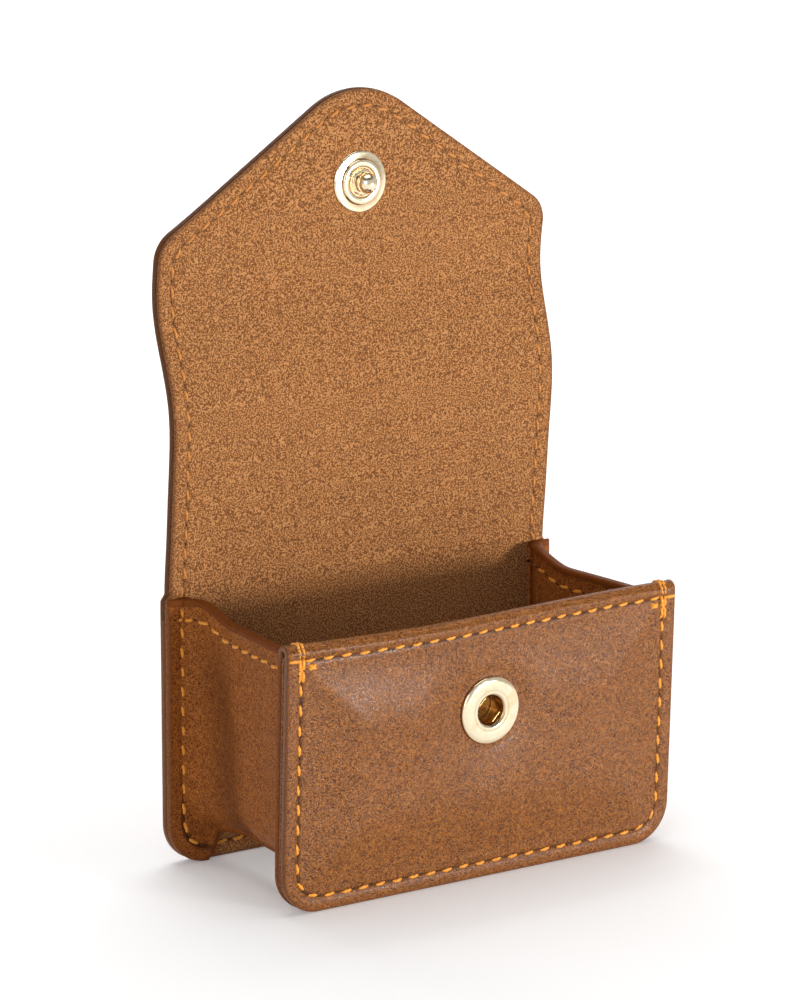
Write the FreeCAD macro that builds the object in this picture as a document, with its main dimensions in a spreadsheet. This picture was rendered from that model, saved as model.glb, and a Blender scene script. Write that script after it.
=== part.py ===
import FreeCAD, Part
import math
import os
import Sketcher

# Leather carrying case for an earbud charging case: a lined front panel and a lined back panel joined by
# two side gussets, an envelope flap that grows out of the back panel, and a ring-and-ball snap.
# Millimetres. X runs across the case, +Y points to the back, +Z up. Z = 0 is what the case stands on,
# X = 0 its middle plane, and Y = 0 the middle of its whole depth, open flap included.

DIMENSIONS = {
    # panels
    "panel_width": 67.5,
    "panel_height": 39.3,
    "panel_corner": 6.0,
    "leather_thick": 1.2,
    "lining_thick": 0.6,
    "gusset_thick": 0.8,
    "board_thick": 0.6,
    "front_face_y": -15.0,
    "front_lean": 2.3,
    "back_lining_y": 15.0,
    "back_height": 39.6,
    # padding under the front leather
    "crown_height": 1.0,
    "crown_foot": 4.5,
    "crown_slope": 8.0,
    # hem along the top of the front panel
    "hem_return": 4.0,
    "hem_side_gap": 0.2,
    # gussets
    "wall_outside": 62.4,
    "bend_radius": 6.9,
    "bend_height": 11.7,
    "foot_x": 27.0,
    "wall_end_x": 25.2,
    "rim_front_z": 37.6,
    "rim_drop_front": 2.0,
    "rim_drop_back": 11.0,
    "flange_overlap": 0.7,
    # flap: the lining surface goes through these fold lines, the start of the straight part and the tip
    "flap_width": 66.2,
    "fold_gap": 0.1,
    "fold_1_z": 39.7,
    "fold_2_y": 13.55,
    "fold_2_z": 56.2,
    "fold_3_y": 12.95,
    "fold_3_z": 65.8,
    "fold_4_y": 16.6,
    "fold_4_z": 82.0,
    "straight_y": 15.4,
    "straight_z": 90.9,
    "snap_z": 96.7,
    "tip_y": 15.3,
    "tip_z": 110.2,
    "shoulder_width": 67.2,
    "shoulder_z": 90.4,
    "apex_z": 112.9,
    "shoulder_radius": 5.0,
    "tip_radius": 13.5,
    # snap
    "socket_height": 25.4,
    "ring_radius": 5.0,
    "ring_thick": 0.7,
    "hole_radius": 2.15,
    "barrel_radius": 2.55,
    "post_radius": 4.0,
    "post_thick": 0.5,
    "wire_radius": 0.18,
    "wire_offset": 1.75,
    "press_gap": 0.04,
    "stud_radius": 4.5,
    "stud_flange_thick": 0.5,
    "stud_step_radius": 3.25,
    "stud_step_top": 0.9,
    "stud_collar_radius": 1.9,
    "stud_collar_top": 1.2,
    "stud_neck_radius": 1.1,
    "ball_radius": 1.5,
    "stud_height": 3.5,
    "cap_radius": 5.5,
    "cap_thick": 0.9,
    "rivet_radius": 1.2,
    # thread
    "stitch_margin": 2.2,
    "stitch_pitch": 2.9,
    "stitch_length": 2.0,
    "thread_width": 0.5,
    "thread_proud": 0.25,
    "rim_stitch_drop": 3.0,
    "stitch_clearance": 0.2,
}

doc = FreeCAD.newDocument("carrying_case")
sheet = doc.addObject("Spreadsheet::Sheet", "Dimensions")
for row, (alias, number) in enumerate(DIMENSIONS.items(), start=1):
    sheet.set(f"A{row}", alias)
    sheet.set(f"B{row}", str(number))
    sheet.setAlias(f"B{row}", alias)
doc.recompute()


class Size:
    """A length that knows its number and the sheet expression it comes from."""

    def __init__(self, value, text):
        self.value = value
        self.text = text

    def __add__(self, other):
        other = as_size(other)
        return Size(self.value + other.value, f"({self.text} + {other.text})")

    def __sub__(self, other):
        other = as_size(other)
        return Size(self.value - other.value, f"({self.text} - {other.text})")

    def __mul__(self, other):
        other = as_size(other)
        return Size(self.value * other.value, f"({self.text} * {other.text})")

    def __truediv__(self, other):
        other = as_size(other)
        return Size(self.value / other.value, f"({self.text} / {other.text})")

    def __neg__(self):
        return Size(-self.value, f"(0 - {self.text})")


def as_size(number):
    if isinstance(number, Size):
        return number
    return Size(float(number), str(number))


def size(alias):
    return Size(float(sheet.get(alias)), f"Dimensions.{alias}")


V = FreeCAD.Vector
ZERO = as_size(0)
X_AXIS = V(1, 0, 0)
# These only have to reach past the case.
BELOW = as_size(-5)
ABOVE = as_size(60)
ACROSS = as_size(100)

half_panel = size("panel_width") / 2
half_wall = size("wall_outside") / 2
half_flap = size("flap_width") / 2
leather = size("leather_thick")
lining = size("lining_thick")
gusset = size("gusset_thick")
back_y = size("back_lining_y")
front_y = size("front_face_y")
lean = size("front_lean")
panel_top = size("panel_height")
margin = size("stitch_margin")
front_stack = leather + lining
crown = size("crown_height")

# The front panel is drawn in a frame of its own, whose Y = 0 is the outer face of its leather.
FRONT = FreeCAD.Placement(V(0, front_y.value, 0), FreeCAD.Rotation(X_AXIS, lean.value))
nodes = []


# ---------------------------------------------------------------- helpers

def new_body(name):
    body = doc.addObject("PartDesign::Body", name)
    body.Label = name
    nodes.append(body)
    return body


def new_feature(name, shape, placement=None):
    feature = doc.addObject("Part::Feature", name)
    feature.Label = name
    feature.Shape = shape
    if placement is not None:
        feature.Placement = placement
    nodes.append(feature)
    return feature


def sketch_on(body, role, name, offset=ZERO):
    """An empty sketch on an origin plane, moved offset along the plane's normal."""
    sketch = body.newObject("Sketcher::SketchObject", name)
    plane = [item for item in body.Origin.OriginFeatures if item.Role == role][0]
    sketch.AttachmentSupport = [(plane, "")]
    sketch.MapMode = "FlatFace"
    sketch.AttachmentOffset = FreeCAD.Placement(V(0, 0, offset.value), FreeCAD.Rotation())
    if offset is not ZERO:
        sketch.setExpression(".AttachmentOffset.Base.z", offset.text)
    return sketch


def bind_point(sketch, line, end, axis, place):
    """Holds one coordinate of a line's end at a sheet length measured from the sketch's origin."""
    if place is ZERO:
        sketch.addConstraint(Sketcher.Constraint("PointOnObject", line, end, -2 if axis == "X" else -1))
        return
    number = sketch.addConstraint(
        Sketcher.Constraint("Distance" + axis, -1, 1, line, end, place.value))
    sketch.setExpression(f"Constraints[{number}]", place.text)


def draw_outline(sketch, corners):
    """Closed outline of straight lines. Each corner is (x, y), or (x, y, radius) where it is rounded."""
    count = len(corners)
    points = [V(corner[0].value, corner[1].value, 0) for corner in corners]
    ends = []
    for index, corner in enumerate(corners):
        before = (points[index - 1] - points[index]).normalize()
        after = (points[(index + 1) % count] - points[index]).normalize()
        if len(corner) == 2:
            ends.append((points[index], points[index], None))
            continue
        half_angle = before.getAngle(after) / 2
        reach = corner[2].value / math.tan(half_angle)
        centre = points[index] + (before + after).normalize() * (corner[2].value / math.sin(half_angle))
        ends.append((points[index] + before * reach, points[index] + after * reach, centre))
    lines = []
    for index in range(count):
        start = ends[index][1]
        stop = ends[(index + 1) % count][0]
        lines.append(sketch.addGeometry(Part.LineSegment(start, stop), False))
    for index, corner in enumerate(corners):
        incoming = lines[index - 1]
        outgoing = lines[index]
        if len(corner) == 2:
            sketch.addConstraint(Sketcher.Constraint("Coincident", incoming, 2, outgoing, 1))
            bind_point(sketch, outgoing, 1, "X", corner[0])
            bind_point(sketch, outgoing, 1, "Y", corner[1])
            continue
        first, last, centre = ends[index]
        turns_left = (first - centre).cross(last - centre).z > 0
        curve = rounding(centre, first, last) if turns_left else rounding(centre, last, first)
        arc = sketch.addGeometry(curve, False)
        start_end = (1, 2) if turns_left else (2, 1)
        corner_point = sketch.addGeometry(Part.Point(points[index]), True)
        sketch.addConstraint(Sketcher.Constraint("PointOnObject", corner_point, 1, incoming))
        sketch.addConstraint(Sketcher.Constraint("PointOnObject", corner_point, 1, outgoing))
        sketch.addConstraint(Sketcher.Constraint("Tangent", incoming, 2, arc, start_end[0]))
        sketch.addConstraint(Sketcher.Constraint("Tangent", outgoing, 1, arc, start_end[1]))
        number = sketch.addConstraint(Sketcher.Constraint("Radius", arc, corner[2].value))
        sketch.setExpression(f"Constraints[{number}]", corner[2].text)
        bind_point(sketch, corner_point, 1, "X", corner[0])
        bind_point(sketch, corner_point, 1, "Y", corner[1])
    doc.recompute()


def rounding(centre, start, stop):
    """The arc about centre that runs anticlockwise from start to stop."""
    circle = Part.Circle(centre, V(0, 0, 1), (start - centre).Length)
    first = math.atan2(start.y - centre.y, start.x - centre.x)
    last = math.atan2(stop.y - centre.y, stop.x - centre.x)
    return Part.ArcOfCircle(circle, first, last if last > first else last + 2 * math.pi)


def pad(body, sketch, length, both_ways=False, reverse=False):
    feature = body.newObject("PartDesign::Pad", sketch.Name + "_pad")
    feature.Profile = sketch
    feature.Length = length.value
    feature.setExpression("Length", length.text)
    feature.SideType = "Symmetric" if both_ways else "One side"
    feature.Reversed = reverse
    sketch.Visibility = False
    doc.recompute()
    return feature


def pocket(body, sketch, length, both_ways=False, reverse=False):
    """Cuts, and makes sure that something was cut."""
    before = body.Shape.Volume
    feature = body.newObject("PartDesign::Pocket", sketch.Name + "_pocket")
    feature.Profile = sketch
    feature.Length = length.value
    feature.setExpression("Length", length.text)
    feature.SideType = "Symmetric" if both_ways else "One side"
    feature.Reversed = reverse
    doc.recompute()
    if body.Shape.Volume >= before - 0.001:
        raise RuntimeError(f"{sketch.Name} cut nothing")
    return feature


def plate(body, name, corners, near_y, thick):
    """Pads an XZ outline from Y = near_y towards the back by thick."""
    sketch = sketch_on(body, "XZ_Plane", name, -(near_y + thick))
    draw_outline(sketch, corners)
    return pad(body, sketch, thick)


def panel_corners(top):
    """Square top corners, rounded bottom ones."""
    corner = size("panel_corner")
    return [(-half_panel, ZERO, corner), (half_panel, ZERO, corner), (half_panel, top), (-half_panel, top)]


def box_corners(side, low, high, radius=None):
    """A rectangle from -side to side, rounded all round if a radius is given."""
    rounded = () if radius is None else (radius,)
    return [(x, z) + rounded for x, z in ((-side, low), (side, low), (side, high), (-side, high))]


def circle_sketch(body, role, name, centre_x, centre_z, radius, offset=ZERO):
    sketch = sketch_on(body, role, name, offset)
    circle = sketch.addGeometry(Part.Circle(V(centre_x.value, centre_z.value, 0), V(0, 0, 1), radius.value))
    bind_point(sketch, circle, 3, "X", centre_x)
    bind_point(sketch, circle, 3, "Y", centre_z)
    number = sketch.addConstraint(Sketcher.Constraint("Radius", circle, radius.value))
    sketch.setExpression(f"Constraints[{number}]", radius.text)
    doc.recompute()
    return sketch


def turned(name, outline, placement):
    """A body of revolution about its own Z axis. The outline is (radius, height) corners."""
    body = new_body(name)
    sketch = sketch_on(body, "XZ_Plane", name + "_outline")
    draw_outline(sketch, outline)
    spin = body.newObject("PartDesign::Revolution", name + "_turned")
    spin.Profile = sketch
    spin.ReferenceAxis = (sketch, ["V_Axis"])
    spin.Angle = 360
    doc.recompute()
    body.Placement = placement
    return body


# ---------------------------------------------------------------- front panel

hole_z = size("socket_height")


def snap_hole(body, name, radius, height):
    """A hole for the snap, straight through in Y."""
    pocket(body, circle_sketch(body, "XZ_Plane", name, ZERO, height, radius), ACROSS, both_ways=True)


def crown_loft(body, name, base_y, kind):
    """The padding's raised field: a rounded rectangle that narrows towards the front."""
    rings = []
    for number, rise in enumerate((ZERO, crown)):
        grow = size("crown_foot") + (size("crown_slope") if number else ZERO)
        sketch = sketch_on(body, "XZ_Plane", f"{name}_{number}", -(base_y - rise))
        draw_outline(sketch, box_corners(half_panel - grow, grow, panel_top - grow, size("panel_corner")))
        rings.append(sketch)
    loft = body.newObject(kind, name + "_loft")
    loft.Profile = rings[0]
    loft.Sections = [rings[1]]
    loft.Ruled = True
    doc.recompute()


def make_front_leather():
    """One sheet that rises over the padding and turns over the top edge into a hem inside the pocket."""
    body = new_body("front_leather")
    plate(body, "front_leather_sheet", panel_corners(panel_top), ZERO, leather)
    crown_loft(body, "front_leather_crown", ZERO, "PartDesign::AdditiveLoft")
    crown_loft(body, "front_leather_hollow", leather, "PartDesign::SubtractiveLoft")
    inside = half_wall - gusset - size("hem_side_gap")
    turn = box_corners(inside, panel_top - leather, panel_top)
    plate(body, "front_leather_turn", turn, leather, lining + gusset)
    hem = box_corners(inside, panel_top - size("hem_return"), panel_top)
    plate(body, "front_leather_hem", hem, front_stack, gusset)
    snap_hole(body, "front_leather_hole", size("barrel_radius"), hole_z)
    body.Placement = FRONT


def make_front_padding():
    """Foam that fills the leather's hollow."""
    body = new_body("front_padding")
    crown_loft(body, "front_padding_crown", leather, "PartDesign::AdditiveLoft")
    snap_hole(body, "front_padding_hole", size("barrel_radius"), hole_z)
    body.Placement = FRONT


def make_front_lining():
    body = new_body("front_lining")
    plate(body, "front_lining_sheet", panel_corners(panel_top - leather), leather, lining)
    snap_hole(body, "front_lining_hole", size("barrel_radius"), hole_z)
    body.Placement = FRONT


# ---------------------------------------------------------------- back panel

def make_back_panel():
    """Leather with a skived recess, a board in that recess, and the lining in front of both."""
    top = size("back_height")
    board = size("board_thick")
    inset = size("crown_foot")
    board_outline = box_corners(half_panel - inset, inset, top - inset)

    body = new_body("back_leather")
    plate(body, "back_leather_sheet", panel_corners(top), back_y + lining, leather)
    recess = sketch_on(body, "XZ_Plane", "back_leather_recess", -(back_y + lining))
    draw_outline(recess, board_outline)
    pocket(body, recess, board)

    body = new_body("back_board")
    plate(body, "back_board_sheet", board_outline, back_y + lining, board)

    body = new_body("back_lining")
    plate(body, "back_lining_sheet", panel_corners(top), back_y, lining)


# ---------------------------------------------------------------- gussets

def gusset_band(body, name, side):
    """Outline of the wall seen from the front: straight down, then round the bottom corner."""
    sketch = sketch_on(body, "XZ_Plane", name, -back_y)
    outer = half_wall
    radius = size("bend_radius")
    centre_x = outer - radius
    centre_z = size("bend_height")
    top = size("back_height")
    inner_radius = radius - gusset
    end_angle = math.asin((size("wall_end_x").value - centre_x.value) / radius.value)

    def spot(distance, angle):
        x = centre_x.value + distance.value * math.sin(angle)
        return V(side * x, centre_z.value - distance.value * math.cos(angle), 0)

    quarter = math.pi / 2
    middle = (quarter + end_angle) / 2
    outer_top = V(side * outer.value, top.value, 0)
    inner_top = V(side * (outer - gusset).value, top.value, 0)
    outer_end = spot(radius, end_angle)
    inner_end = spot(inner_radius, end_angle)
    for edge in (
        Part.LineSegment(outer_top, spot(radius, quarter)),
        Part.Arc(spot(radius, quarter), spot(radius, middle), outer_end),
        Part.LineSegment(outer_end, inner_end),
        Part.Arc(inner_end, spot(inner_radius, middle), spot(inner_radius, quarter)),
        Part.LineSegment(spot(inner_radius, quarter), inner_top),
        Part.LineSegment(inner_top, outer_top),
    ):
        sketch.addGeometry(edge)
    doc.recompute()
    return sketch


def flange_outline(side, top):
    """From inside the wall's thickness out to the panel's edge, and round the corner to the foot."""
    mirror = as_size(side)
    overlap = size("flange_overlap")
    inner = half_wall - overlap
    low = size("bend_height") - size("bend_radius") + overlap
    wall_end = size("wall_end_x")
    return [
        (mirror * half_panel, top),
        (mirror * half_panel, ZERO, size("panel_corner")),
        (mirror * size("foot_x"), ZERO),
        (mirror * wall_end, low),
        (mirror * inner, low, inner - wall_end - size("fold_gap")),
        (mirror * inner, top),
    ]


def make_gusset(side, name):
    """Channel of thin leather: a wall, and a flange turned outwards along each panel."""
    body = new_body(name)
    far = front_y * 2
    pad(body, gusset_band(body, name + "_wall", side), back_y - far)
    # the wall stops at the back of the leaning front lining
    lean_run = as_size(round(math.tan(math.radians(lean.value)), 6))
    lean_cos = as_size(round(math.cos(math.radians(lean.value)), 6))
    foot_y = front_y + front_stack / lean_cos
    ahead = sketch_on(body, "YZ_Plane", name + "_ahead")
    draw_outline(ahead, [
        (far, BELOW),
        (foot_y - BELOW * lean_run, BELOW),
        (foot_y - ABOVE * lean_run, ABOVE),
        (far, ABOVE),
    ])
    pocket(body, ahead, ACROSS, both_ways=True)
    plate(body, name + "_back_flange", flange_outline(side, size("back_height")), back_y - gusset, gusset)
    front_flange = sketch_on(body, "XZ_Plane", name + "_front_flange")
    draw_outline(front_flange, flange_outline(side, size("rim_front_z")))
    start = FRONT.multVec(V(0, front_stack.value, 0))
    front_flange.AttachmentOffset = FreeCAD.Placement(V(0, start.z, -start.y), FRONT.Rotation)
    doc.recompute()
    pad(body, front_flange, gusset, reverse=True)
    # the rim drops from the back panel's height to the front panel's
    rim = sketch_on(body, "YZ_Plane", name + "_rim")
    low = size("rim_front_z")
    draw_outline(rim, [
        (far, low),
        (size("rim_drop_front"), low),
        (size("rim_drop_back"), size("back_height")),
        (size("rim_drop_back"), ABOVE),
        (far, ABOVE),
    ])
    pocket(body, rim, ACROSS, both_ways=True)


# ---------------------------------------------------------------- flap

FOLDS = [
    (back_y, size("fold_1_z")),
    (size("fold_2_y"), size("fold_2_z")),
    (size("fold_3_y"), size("fold_3_z")),
    (size("fold_4_y"), size("fold_4_z")),
]
STRAIGHT = (size("straight_y"), size("straight_z"))
TIP = (size("tip_y"), size("tip_z"))
SECTIONS = ["flap_rear", "flap_top", "flap_fore", "flap_front"]
half_gap = size("fold_gap") / 2


def flap_outline_corners():
    """The front section's envelope shape: near-straight sides, shoulders and a rounded tip."""
    low = size("fold_4_z") - leather - lining
    shoulder = size("shoulder_width") / 2
    return [
        (-half_flap, low),
        (half_flap, low),
        (shoulder, size("shoulder_z"), size("shoulder_radius")),
        (ZERO, size("apex_z"), size("tip_radius")),
        (-shoulder, size("shoulder_z"), size("shoulder_radius")),
    ]


def section_profile(body, name, index, start, thick):
    """Side view of one layer of a section: it starts start behind the lining surface."""
    path = [FOLDS[index]] + ([FOLDS[index + 1]] if index < 3 else [STRAIGHT, TIP])
    low = path[0][1] + half_gap
    high = path[-1][1] - half_gap if index < 3 else path[-1][1]
    heights = [low] + [point[1] for point in path[1:-1]] + [high]
    depths = [point[0] + start for point in path]
    sketch = sketch_on(body, "YZ_Plane", name)
    front_edge = list(zip(depths, heights))
    back_edge = [(depth + thick, height) for depth, height in reversed(front_edge)]
    draw_outline(sketch, front_edge + back_edge)
    return sketch


def make_flap_layer(index, layer, start, thick):
    name = f"{SECTIONS[index]}_{layer}"
    body = new_body(name)
    sketch = section_profile(body, name + "_profile", index, start, thick)
    if index < 3:
        pad(body, sketch, size("flap_width"), both_ways=True)
        return
    pad(body, sketch, size("shoulder_width"), both_ways=True)
    outside = sketch_on(body, "XZ_Plane", name + "_outside")
    draw_outline(outside, flap_outline_corners())
    past_tip = size("apex_z") + size("tip_radius")
    draw_outline(outside, box_corners(size("flap_width"), size("fold_3_z"), past_tip))
    pocket(body, outside, ACROSS, both_ways=True)
    snap_hole(body, name + "_hole", size("rivet_radius"), size("snap_z"))


# ---------------------------------------------------------------- snap

def outward(position, tilt):
    """Places a turned piece with its own Z axis pointing to the front, tilted by that many degrees."""
    return FreeCAD.Placement(position, FreeCAD.Rotation(X_AXIS, 90 + tilt))


def make_socket():
    """Ring and barrel, the two spring wires across its mouth, and the rivet post from inside."""
    on_crown = FRONT.multVec(V(0, -crown.value, hole_z.value))
    place = outward(on_crown, lean.value)
    hole = size("hole_radius")
    barrel = size("barrel_radius")
    outer = size("ring_radius")
    thick = size("ring_thick")
    deep = front_stack + crown
    snug = barrel - size("press_gap")
    ring = [
        (hole, -deep),
        (snug, -deep),
        (snug, ZERO),
        (outer, ZERO),
        (outer, thick * 0.6),
        (outer - 0.5, thick),
        (hole + 0.7, thick * 0.7),
        (hole + 0.3, thick),
        (hole, thick * 0.7),
    ]
    turned("snap_socket_ring", ring, place)

    post_top = -deep
    post = size("post_radius")
    post_low = post_top - size("post_thick")
    post_outline = [
        (ZERO, post_low),
        (post * 0.9, post_low),
        (post, post_low + size("post_thick") / 2),
        (post, post_top),
        (ZERO, post_top),
    ]
    turned("snap_socket_post", post_outline, place)

    wire = size("wire_radius").value
    offset = size("wire_offset").value
    clear = hole.value - size("press_gap").value / 2
    half_chord = math.sqrt(clear ** 2 - (offset + wire) ** 2)
    wires = []
    for way in (1, -1):
        start = V(-half_chord, way * offset, -wire)
        wires.append(Part.makeCylinder(wire, 2 * half_chord, start, X_AXIS))
    slant = FreeCAD.Placement(V(0, 0, 0), FreeCAD.Rotation(V(0, 0, 1), 45))
    new_feature("snap_socket_spring", Part.makeCompound(wires), place.multiply(slant))


def make_stud():
    """Flange, stepped collar, neck and ball on the lining side, and the riveted cap outside."""
    slope = (TIP[0].value - STRAIGHT[0].value) / (TIP[1].value - STRAIGHT[1].value)
    snap_z = size("snap_z").value
    snap_y = STRAIGHT[0].value + slope * (snap_z - STRAIGHT[1].value)
    place = outward(V(0, snap_y, snap_z), -math.degrees(math.atan(slope)))
    neck = size("stud_neck_radius")
    ball = size("ball_radius")
    top = size("stud_height")
    flange = size("stud_radius")
    step = size("stud_step_radius")
    collar = size("stud_collar_radius")
    rivet = size("rivet_radius") - size("press_gap")
    flange_top = size("stud_flange_thick")
    step_top = size("stud_step_top")
    collar_top = size("stud_collar_top")
    flap_thick = leather + lining
    body = turned("snap_stud", [
        (ZERO, -flap_thick),
        (rivet, -flap_thick),
        (rivet, ZERO),
        (flange, ZERO),
        (flange, flange_top * 0.6),
        (flange * 0.9, flange_top),
        (step, flange_top),
        (step * 0.9, step_top),
        (collar, step_top),
        (collar * 0.9, collar_top),
        (neck, collar_top),
        (neck, top - ball),
        (ZERO, top - ball),
    ], place)
    head = body.newObject("PartDesign::AdditiveSphere", "snap_stud_ball")
    head.Radius = ball.value
    head.setExpression("Radius", ball.text)
    head.AttachmentOffset = FreeCAD.Placement(V(0, 0, (top - ball).value), FreeCAD.Rotation())
    plane = [item for item in body.Origin.OriginFeatures if item.Role == "XY_Plane"][0]
    head.AttachmentSupport = [(plane, "")]
    head.MapMode = "FlatFace"
    doc.recompute()

    cap = size("cap_radius")
    thick = size("cap_thick")
    turned("snap_stud_cap", [
        (ZERO, -flap_thick),
        (ZERO, -flap_thick - thick),
        (cap * 0.55, -flap_thick - thick * 0.85),
        (cap * 0.88, -flap_thick - thick * 0.5),
        (cap, -flap_thick),
    ], place)


# ---------------------------------------------------------------- stitching

stitch_size = (size("stitch_length").value, size("thread_width").value, size("thread_proud").value)
pitch = size("stitch_pitch").value


def stitch(point, along, outwards):
    """One visible stitch: a short bar that lies on a surface."""
    long, wide, proud = stitch_size
    bar = Part.makeBox(long, wide, proud, V(-long / 2, -wide / 2, 0))
    across = outwards.cross(along).normalize()
    rotation = FreeCAD.Rotation(along, across, outwards, "XZY")
    bar.Placement = FreeCAD.Placement(point, rotation)
    return bar


def inset_loop(corners, distance):
    """The outline moved inwards, as a wire in the XZ plane."""
    helper = doc.addObject("Sketcher::SketchObject", "inset_helper")
    draw_outline(helper, corners)
    wire = helper.Shape.Wires[0].makeOffset2D(-distance)
    doc.removeObject(helper.Name)
    return wire


def row_points(wire):
    """Evenly spaced (x, z, x direction, z direction) along a flat wire."""
    count = max(2, round(wire.Length / pitch))
    spots = wire.discretize(Number=2 * count + 1)
    rows = []
    for number in range(count):
        before = spots[2 * number]
        after = spots[2 * number + 2]
        here = spots[2 * number + 1]
        rows.append((here.x, here.y, after.x - before.x, after.y - before.y))
    return rows


def line_wire(start, stop):
    return Part.Wire([Part.LineSegment(V(start[0], start[1], 0), V(stop[0], stop[1], 0)).toShape()])


def flat_row(rows, depth, facing, keep):
    """Stitches on a plane of constant Y that faces the front (-1) or the back (+1)."""
    bars = []
    for x, z, run, rise in rows:
        if keep(x, z):
            bars.append(stitch(V(x, depth, z), V(run, 0, rise).normalize(), V(0, facing, 0)))
    return bars


def make_panel_stitching():
    hem_z = (panel_top - margin).value
    loop = row_points(inset_loop(panel_corners(panel_top), margin.value))
    foot = size("foot_x").value
    clear = stitch_size[0] / 2 + size("stitch_clearance").value
    inner_y = (front_stack + gusset).value

    def below_hem(x, z):
        return z < hem_z - clear

    def on_flange(x, z):
        return z < size("rim_front_z").value - clear and abs(x) > foot + clear

    front_rows = flat_row(loop, 0, -1, below_hem)
    front_rows += flat_row(loop, inner_y, 1, on_flange)
    new_feature("front_seam_thread", Part.makeCompound(front_rows), FRONT)

    hem = row_points(line_wire((-(half_panel - margin).value, hem_z), ((half_panel - margin).value, hem_z)))
    new_feature("front_hem_thread", Part.makeCompound(flat_row(hem, 0, -1, lambda x, z: True)), FRONT)

    back_loop = row_points(inset_loop(panel_corners(size("back_height")), margin.value))
    back_top = size("back_height").value - margin.value - clear

    def below_fold(x, z):
        return z < back_top

    def beside_foot(x, z):
        return below_fold(x, z) and abs(x) > foot + clear

    def between_feet(x, z):
        return z < 2 * margin.value and abs(x) < size("wall_end_x").value - clear

    rear = flat_row(back_loop, (back_y + lining + leather).value, 1, below_fold)
    flange = flat_row(back_loop, (back_y - gusset).value, -1, beside_foot)
    bottom = flat_row(back_loop, back_y.value, -1, between_feet)
    new_feature("back_seam_thread", Part.makeCompound(rear + flange + bottom))


def make_gusset_stitching(side, name):
    """The hem row under the rim, on the wall's outer face."""
    drop = size("rim_stitch_drop").value
    low = size("rim_front_z").value - drop
    high = size("back_height").value - drop
    path = Part.makePolygon([
        V((front_y + front_stack + gusset + margin).value, low, 0),
        V(size("rim_drop_front").value, low, 0),
        V(size("rim_drop_back").value, high, 0),
        V((back_y - gusset - size("thread_width")).value, high, 0),
    ])
    bars = []
    for y, z, run, rise in row_points(path):
        direction = V(0, run, rise).normalize()
        bars.append(stitch(V(side * half_wall.value, y, z), direction, V(side, 0, 0)))
    new_feature(name, Part.makeCompound(bars))


def lining_point(z):
    """Depth of the lining surface at a height, the section that it is on, and the surface's lean."""
    path = FOLDS + [STRAIGHT, TIP]
    for index in range(len(path) - 1):
        (y0, z0), (y1, z1) = [(point[0].value, point[1].value) for point in path[index:index + 2]]
        if z <= z1 or index == len(path) - 2:
            slope = (y1 - y0) / (z1 - z0)
            return y0 + slope * (z - z0), min(index, 3), slope


def make_flap_stitching():
    """One row round the flap, on the lining and on the leather, shared out between the four sections."""
    low = size("fold_1_z")
    shoulder = size("shoulder_width") / 2
    corners = [
        (-half_flap, low - size("hem_return")),
        (half_flap, low - size("hem_return")),
        (half_flap, size("fold_4_z")),
        (shoulder, size("shoulder_z"), size("shoulder_radius")),
        (ZERO, size("apex_z"), size("tip_radius")),
        (-shoulder, size("shoulder_z"), size("shoulder_radius")),
        (-half_flap, size("fold_4_z")),
    ]
    rows = row_points(inset_loop(corners, margin.value))
    thick = (leather + lining).value
    kinks = [point[1].value for point in FOLDS + [STRAIGHT]]
    gap = size("stitch_clearance").value
    clear = stitch_size[0] / 2 + gap
    for index, section in enumerate(SECTIONS):
        bars = []
        for x, z, run, rise in rows:
            depth, owner, slope = lining_point(z)
            steep = abs(rise) / math.hypot(run, rise)
            to_kink = min(abs(z - kink) for kink in kinks)
            if owner != index or z < low.value or to_kink < clear * steep + gap:
                continue
            up = V(0, slope, 1).normalize()
            face = V(0, -1, slope).normalize()
            along = (X_AXIS * run + up * rise).normalize()
            bars.append(stitch(V(x, depth, z), along, face))
            bars.append(stitch(V(x, depth + thick, z), along, face * -1))
        new_feature(f"{section}_thread", Part.makeCompound(bars))


# ---------------------------------------------------------------- assembly

make_front_leather()
make_front_padding()
make_front_lining()
make_back_panel()
make_gusset(-1, "left_gusset")
make_gusset(1, "right_gusset")
for section_index in range(4):
    make_flap_layer(section_index, "lining", ZERO, lining)
    make_flap_layer(section_index, "leather", lining, leather)
make_socket()
make_stud()
make_panel_stitching()
make_gusset_stitching(-1, "left_gusset_thread")
make_gusset_stitching(1, "right_gusset_thread")
make_flap_stitching()
doc.recompute()

for item in doc.Objects:
    if "Invalid" in item.State or "Error" in item.State:
        raise RuntimeError(f"{item.Label} failed: {item.State}")
for node in nodes:
    if node.Shape.isNull() or not node.Shape.isValid() or not node.Shape.Solids:
        raise RuntimeError(f"{node.Label} has no valid solid")

os.makedirs("parts", exist_ok=True)
whole = FreeCAD.BoundBox()
for node in nodes:
    node.Shape.exportStep(f"parts/{node.Label}.step")
    whole.add(node.Shape.BoundBox)
    print(f"{node.Label}: {len(node.Shape.Solids)} solids, {node.Shape.Volume:.1f} mm3")
print(f"whole case: {whole}")
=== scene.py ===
import math

import bmesh
import bpy
import numpy as np
from mathutils import Matrix, Vector


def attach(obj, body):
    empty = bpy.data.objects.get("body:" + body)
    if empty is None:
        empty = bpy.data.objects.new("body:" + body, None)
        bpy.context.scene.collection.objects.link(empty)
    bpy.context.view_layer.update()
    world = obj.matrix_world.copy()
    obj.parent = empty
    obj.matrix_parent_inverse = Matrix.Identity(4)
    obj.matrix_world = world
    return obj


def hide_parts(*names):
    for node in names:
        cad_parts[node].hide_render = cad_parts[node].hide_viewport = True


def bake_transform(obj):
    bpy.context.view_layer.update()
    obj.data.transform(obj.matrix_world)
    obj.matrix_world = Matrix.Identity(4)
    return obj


# A leather carrying case with its envelope flap open. Shapes below are worked out in millimetres in the CAD's
# frame (X across, +Y to the back, +Z up) and go into Blender in metres.

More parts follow.
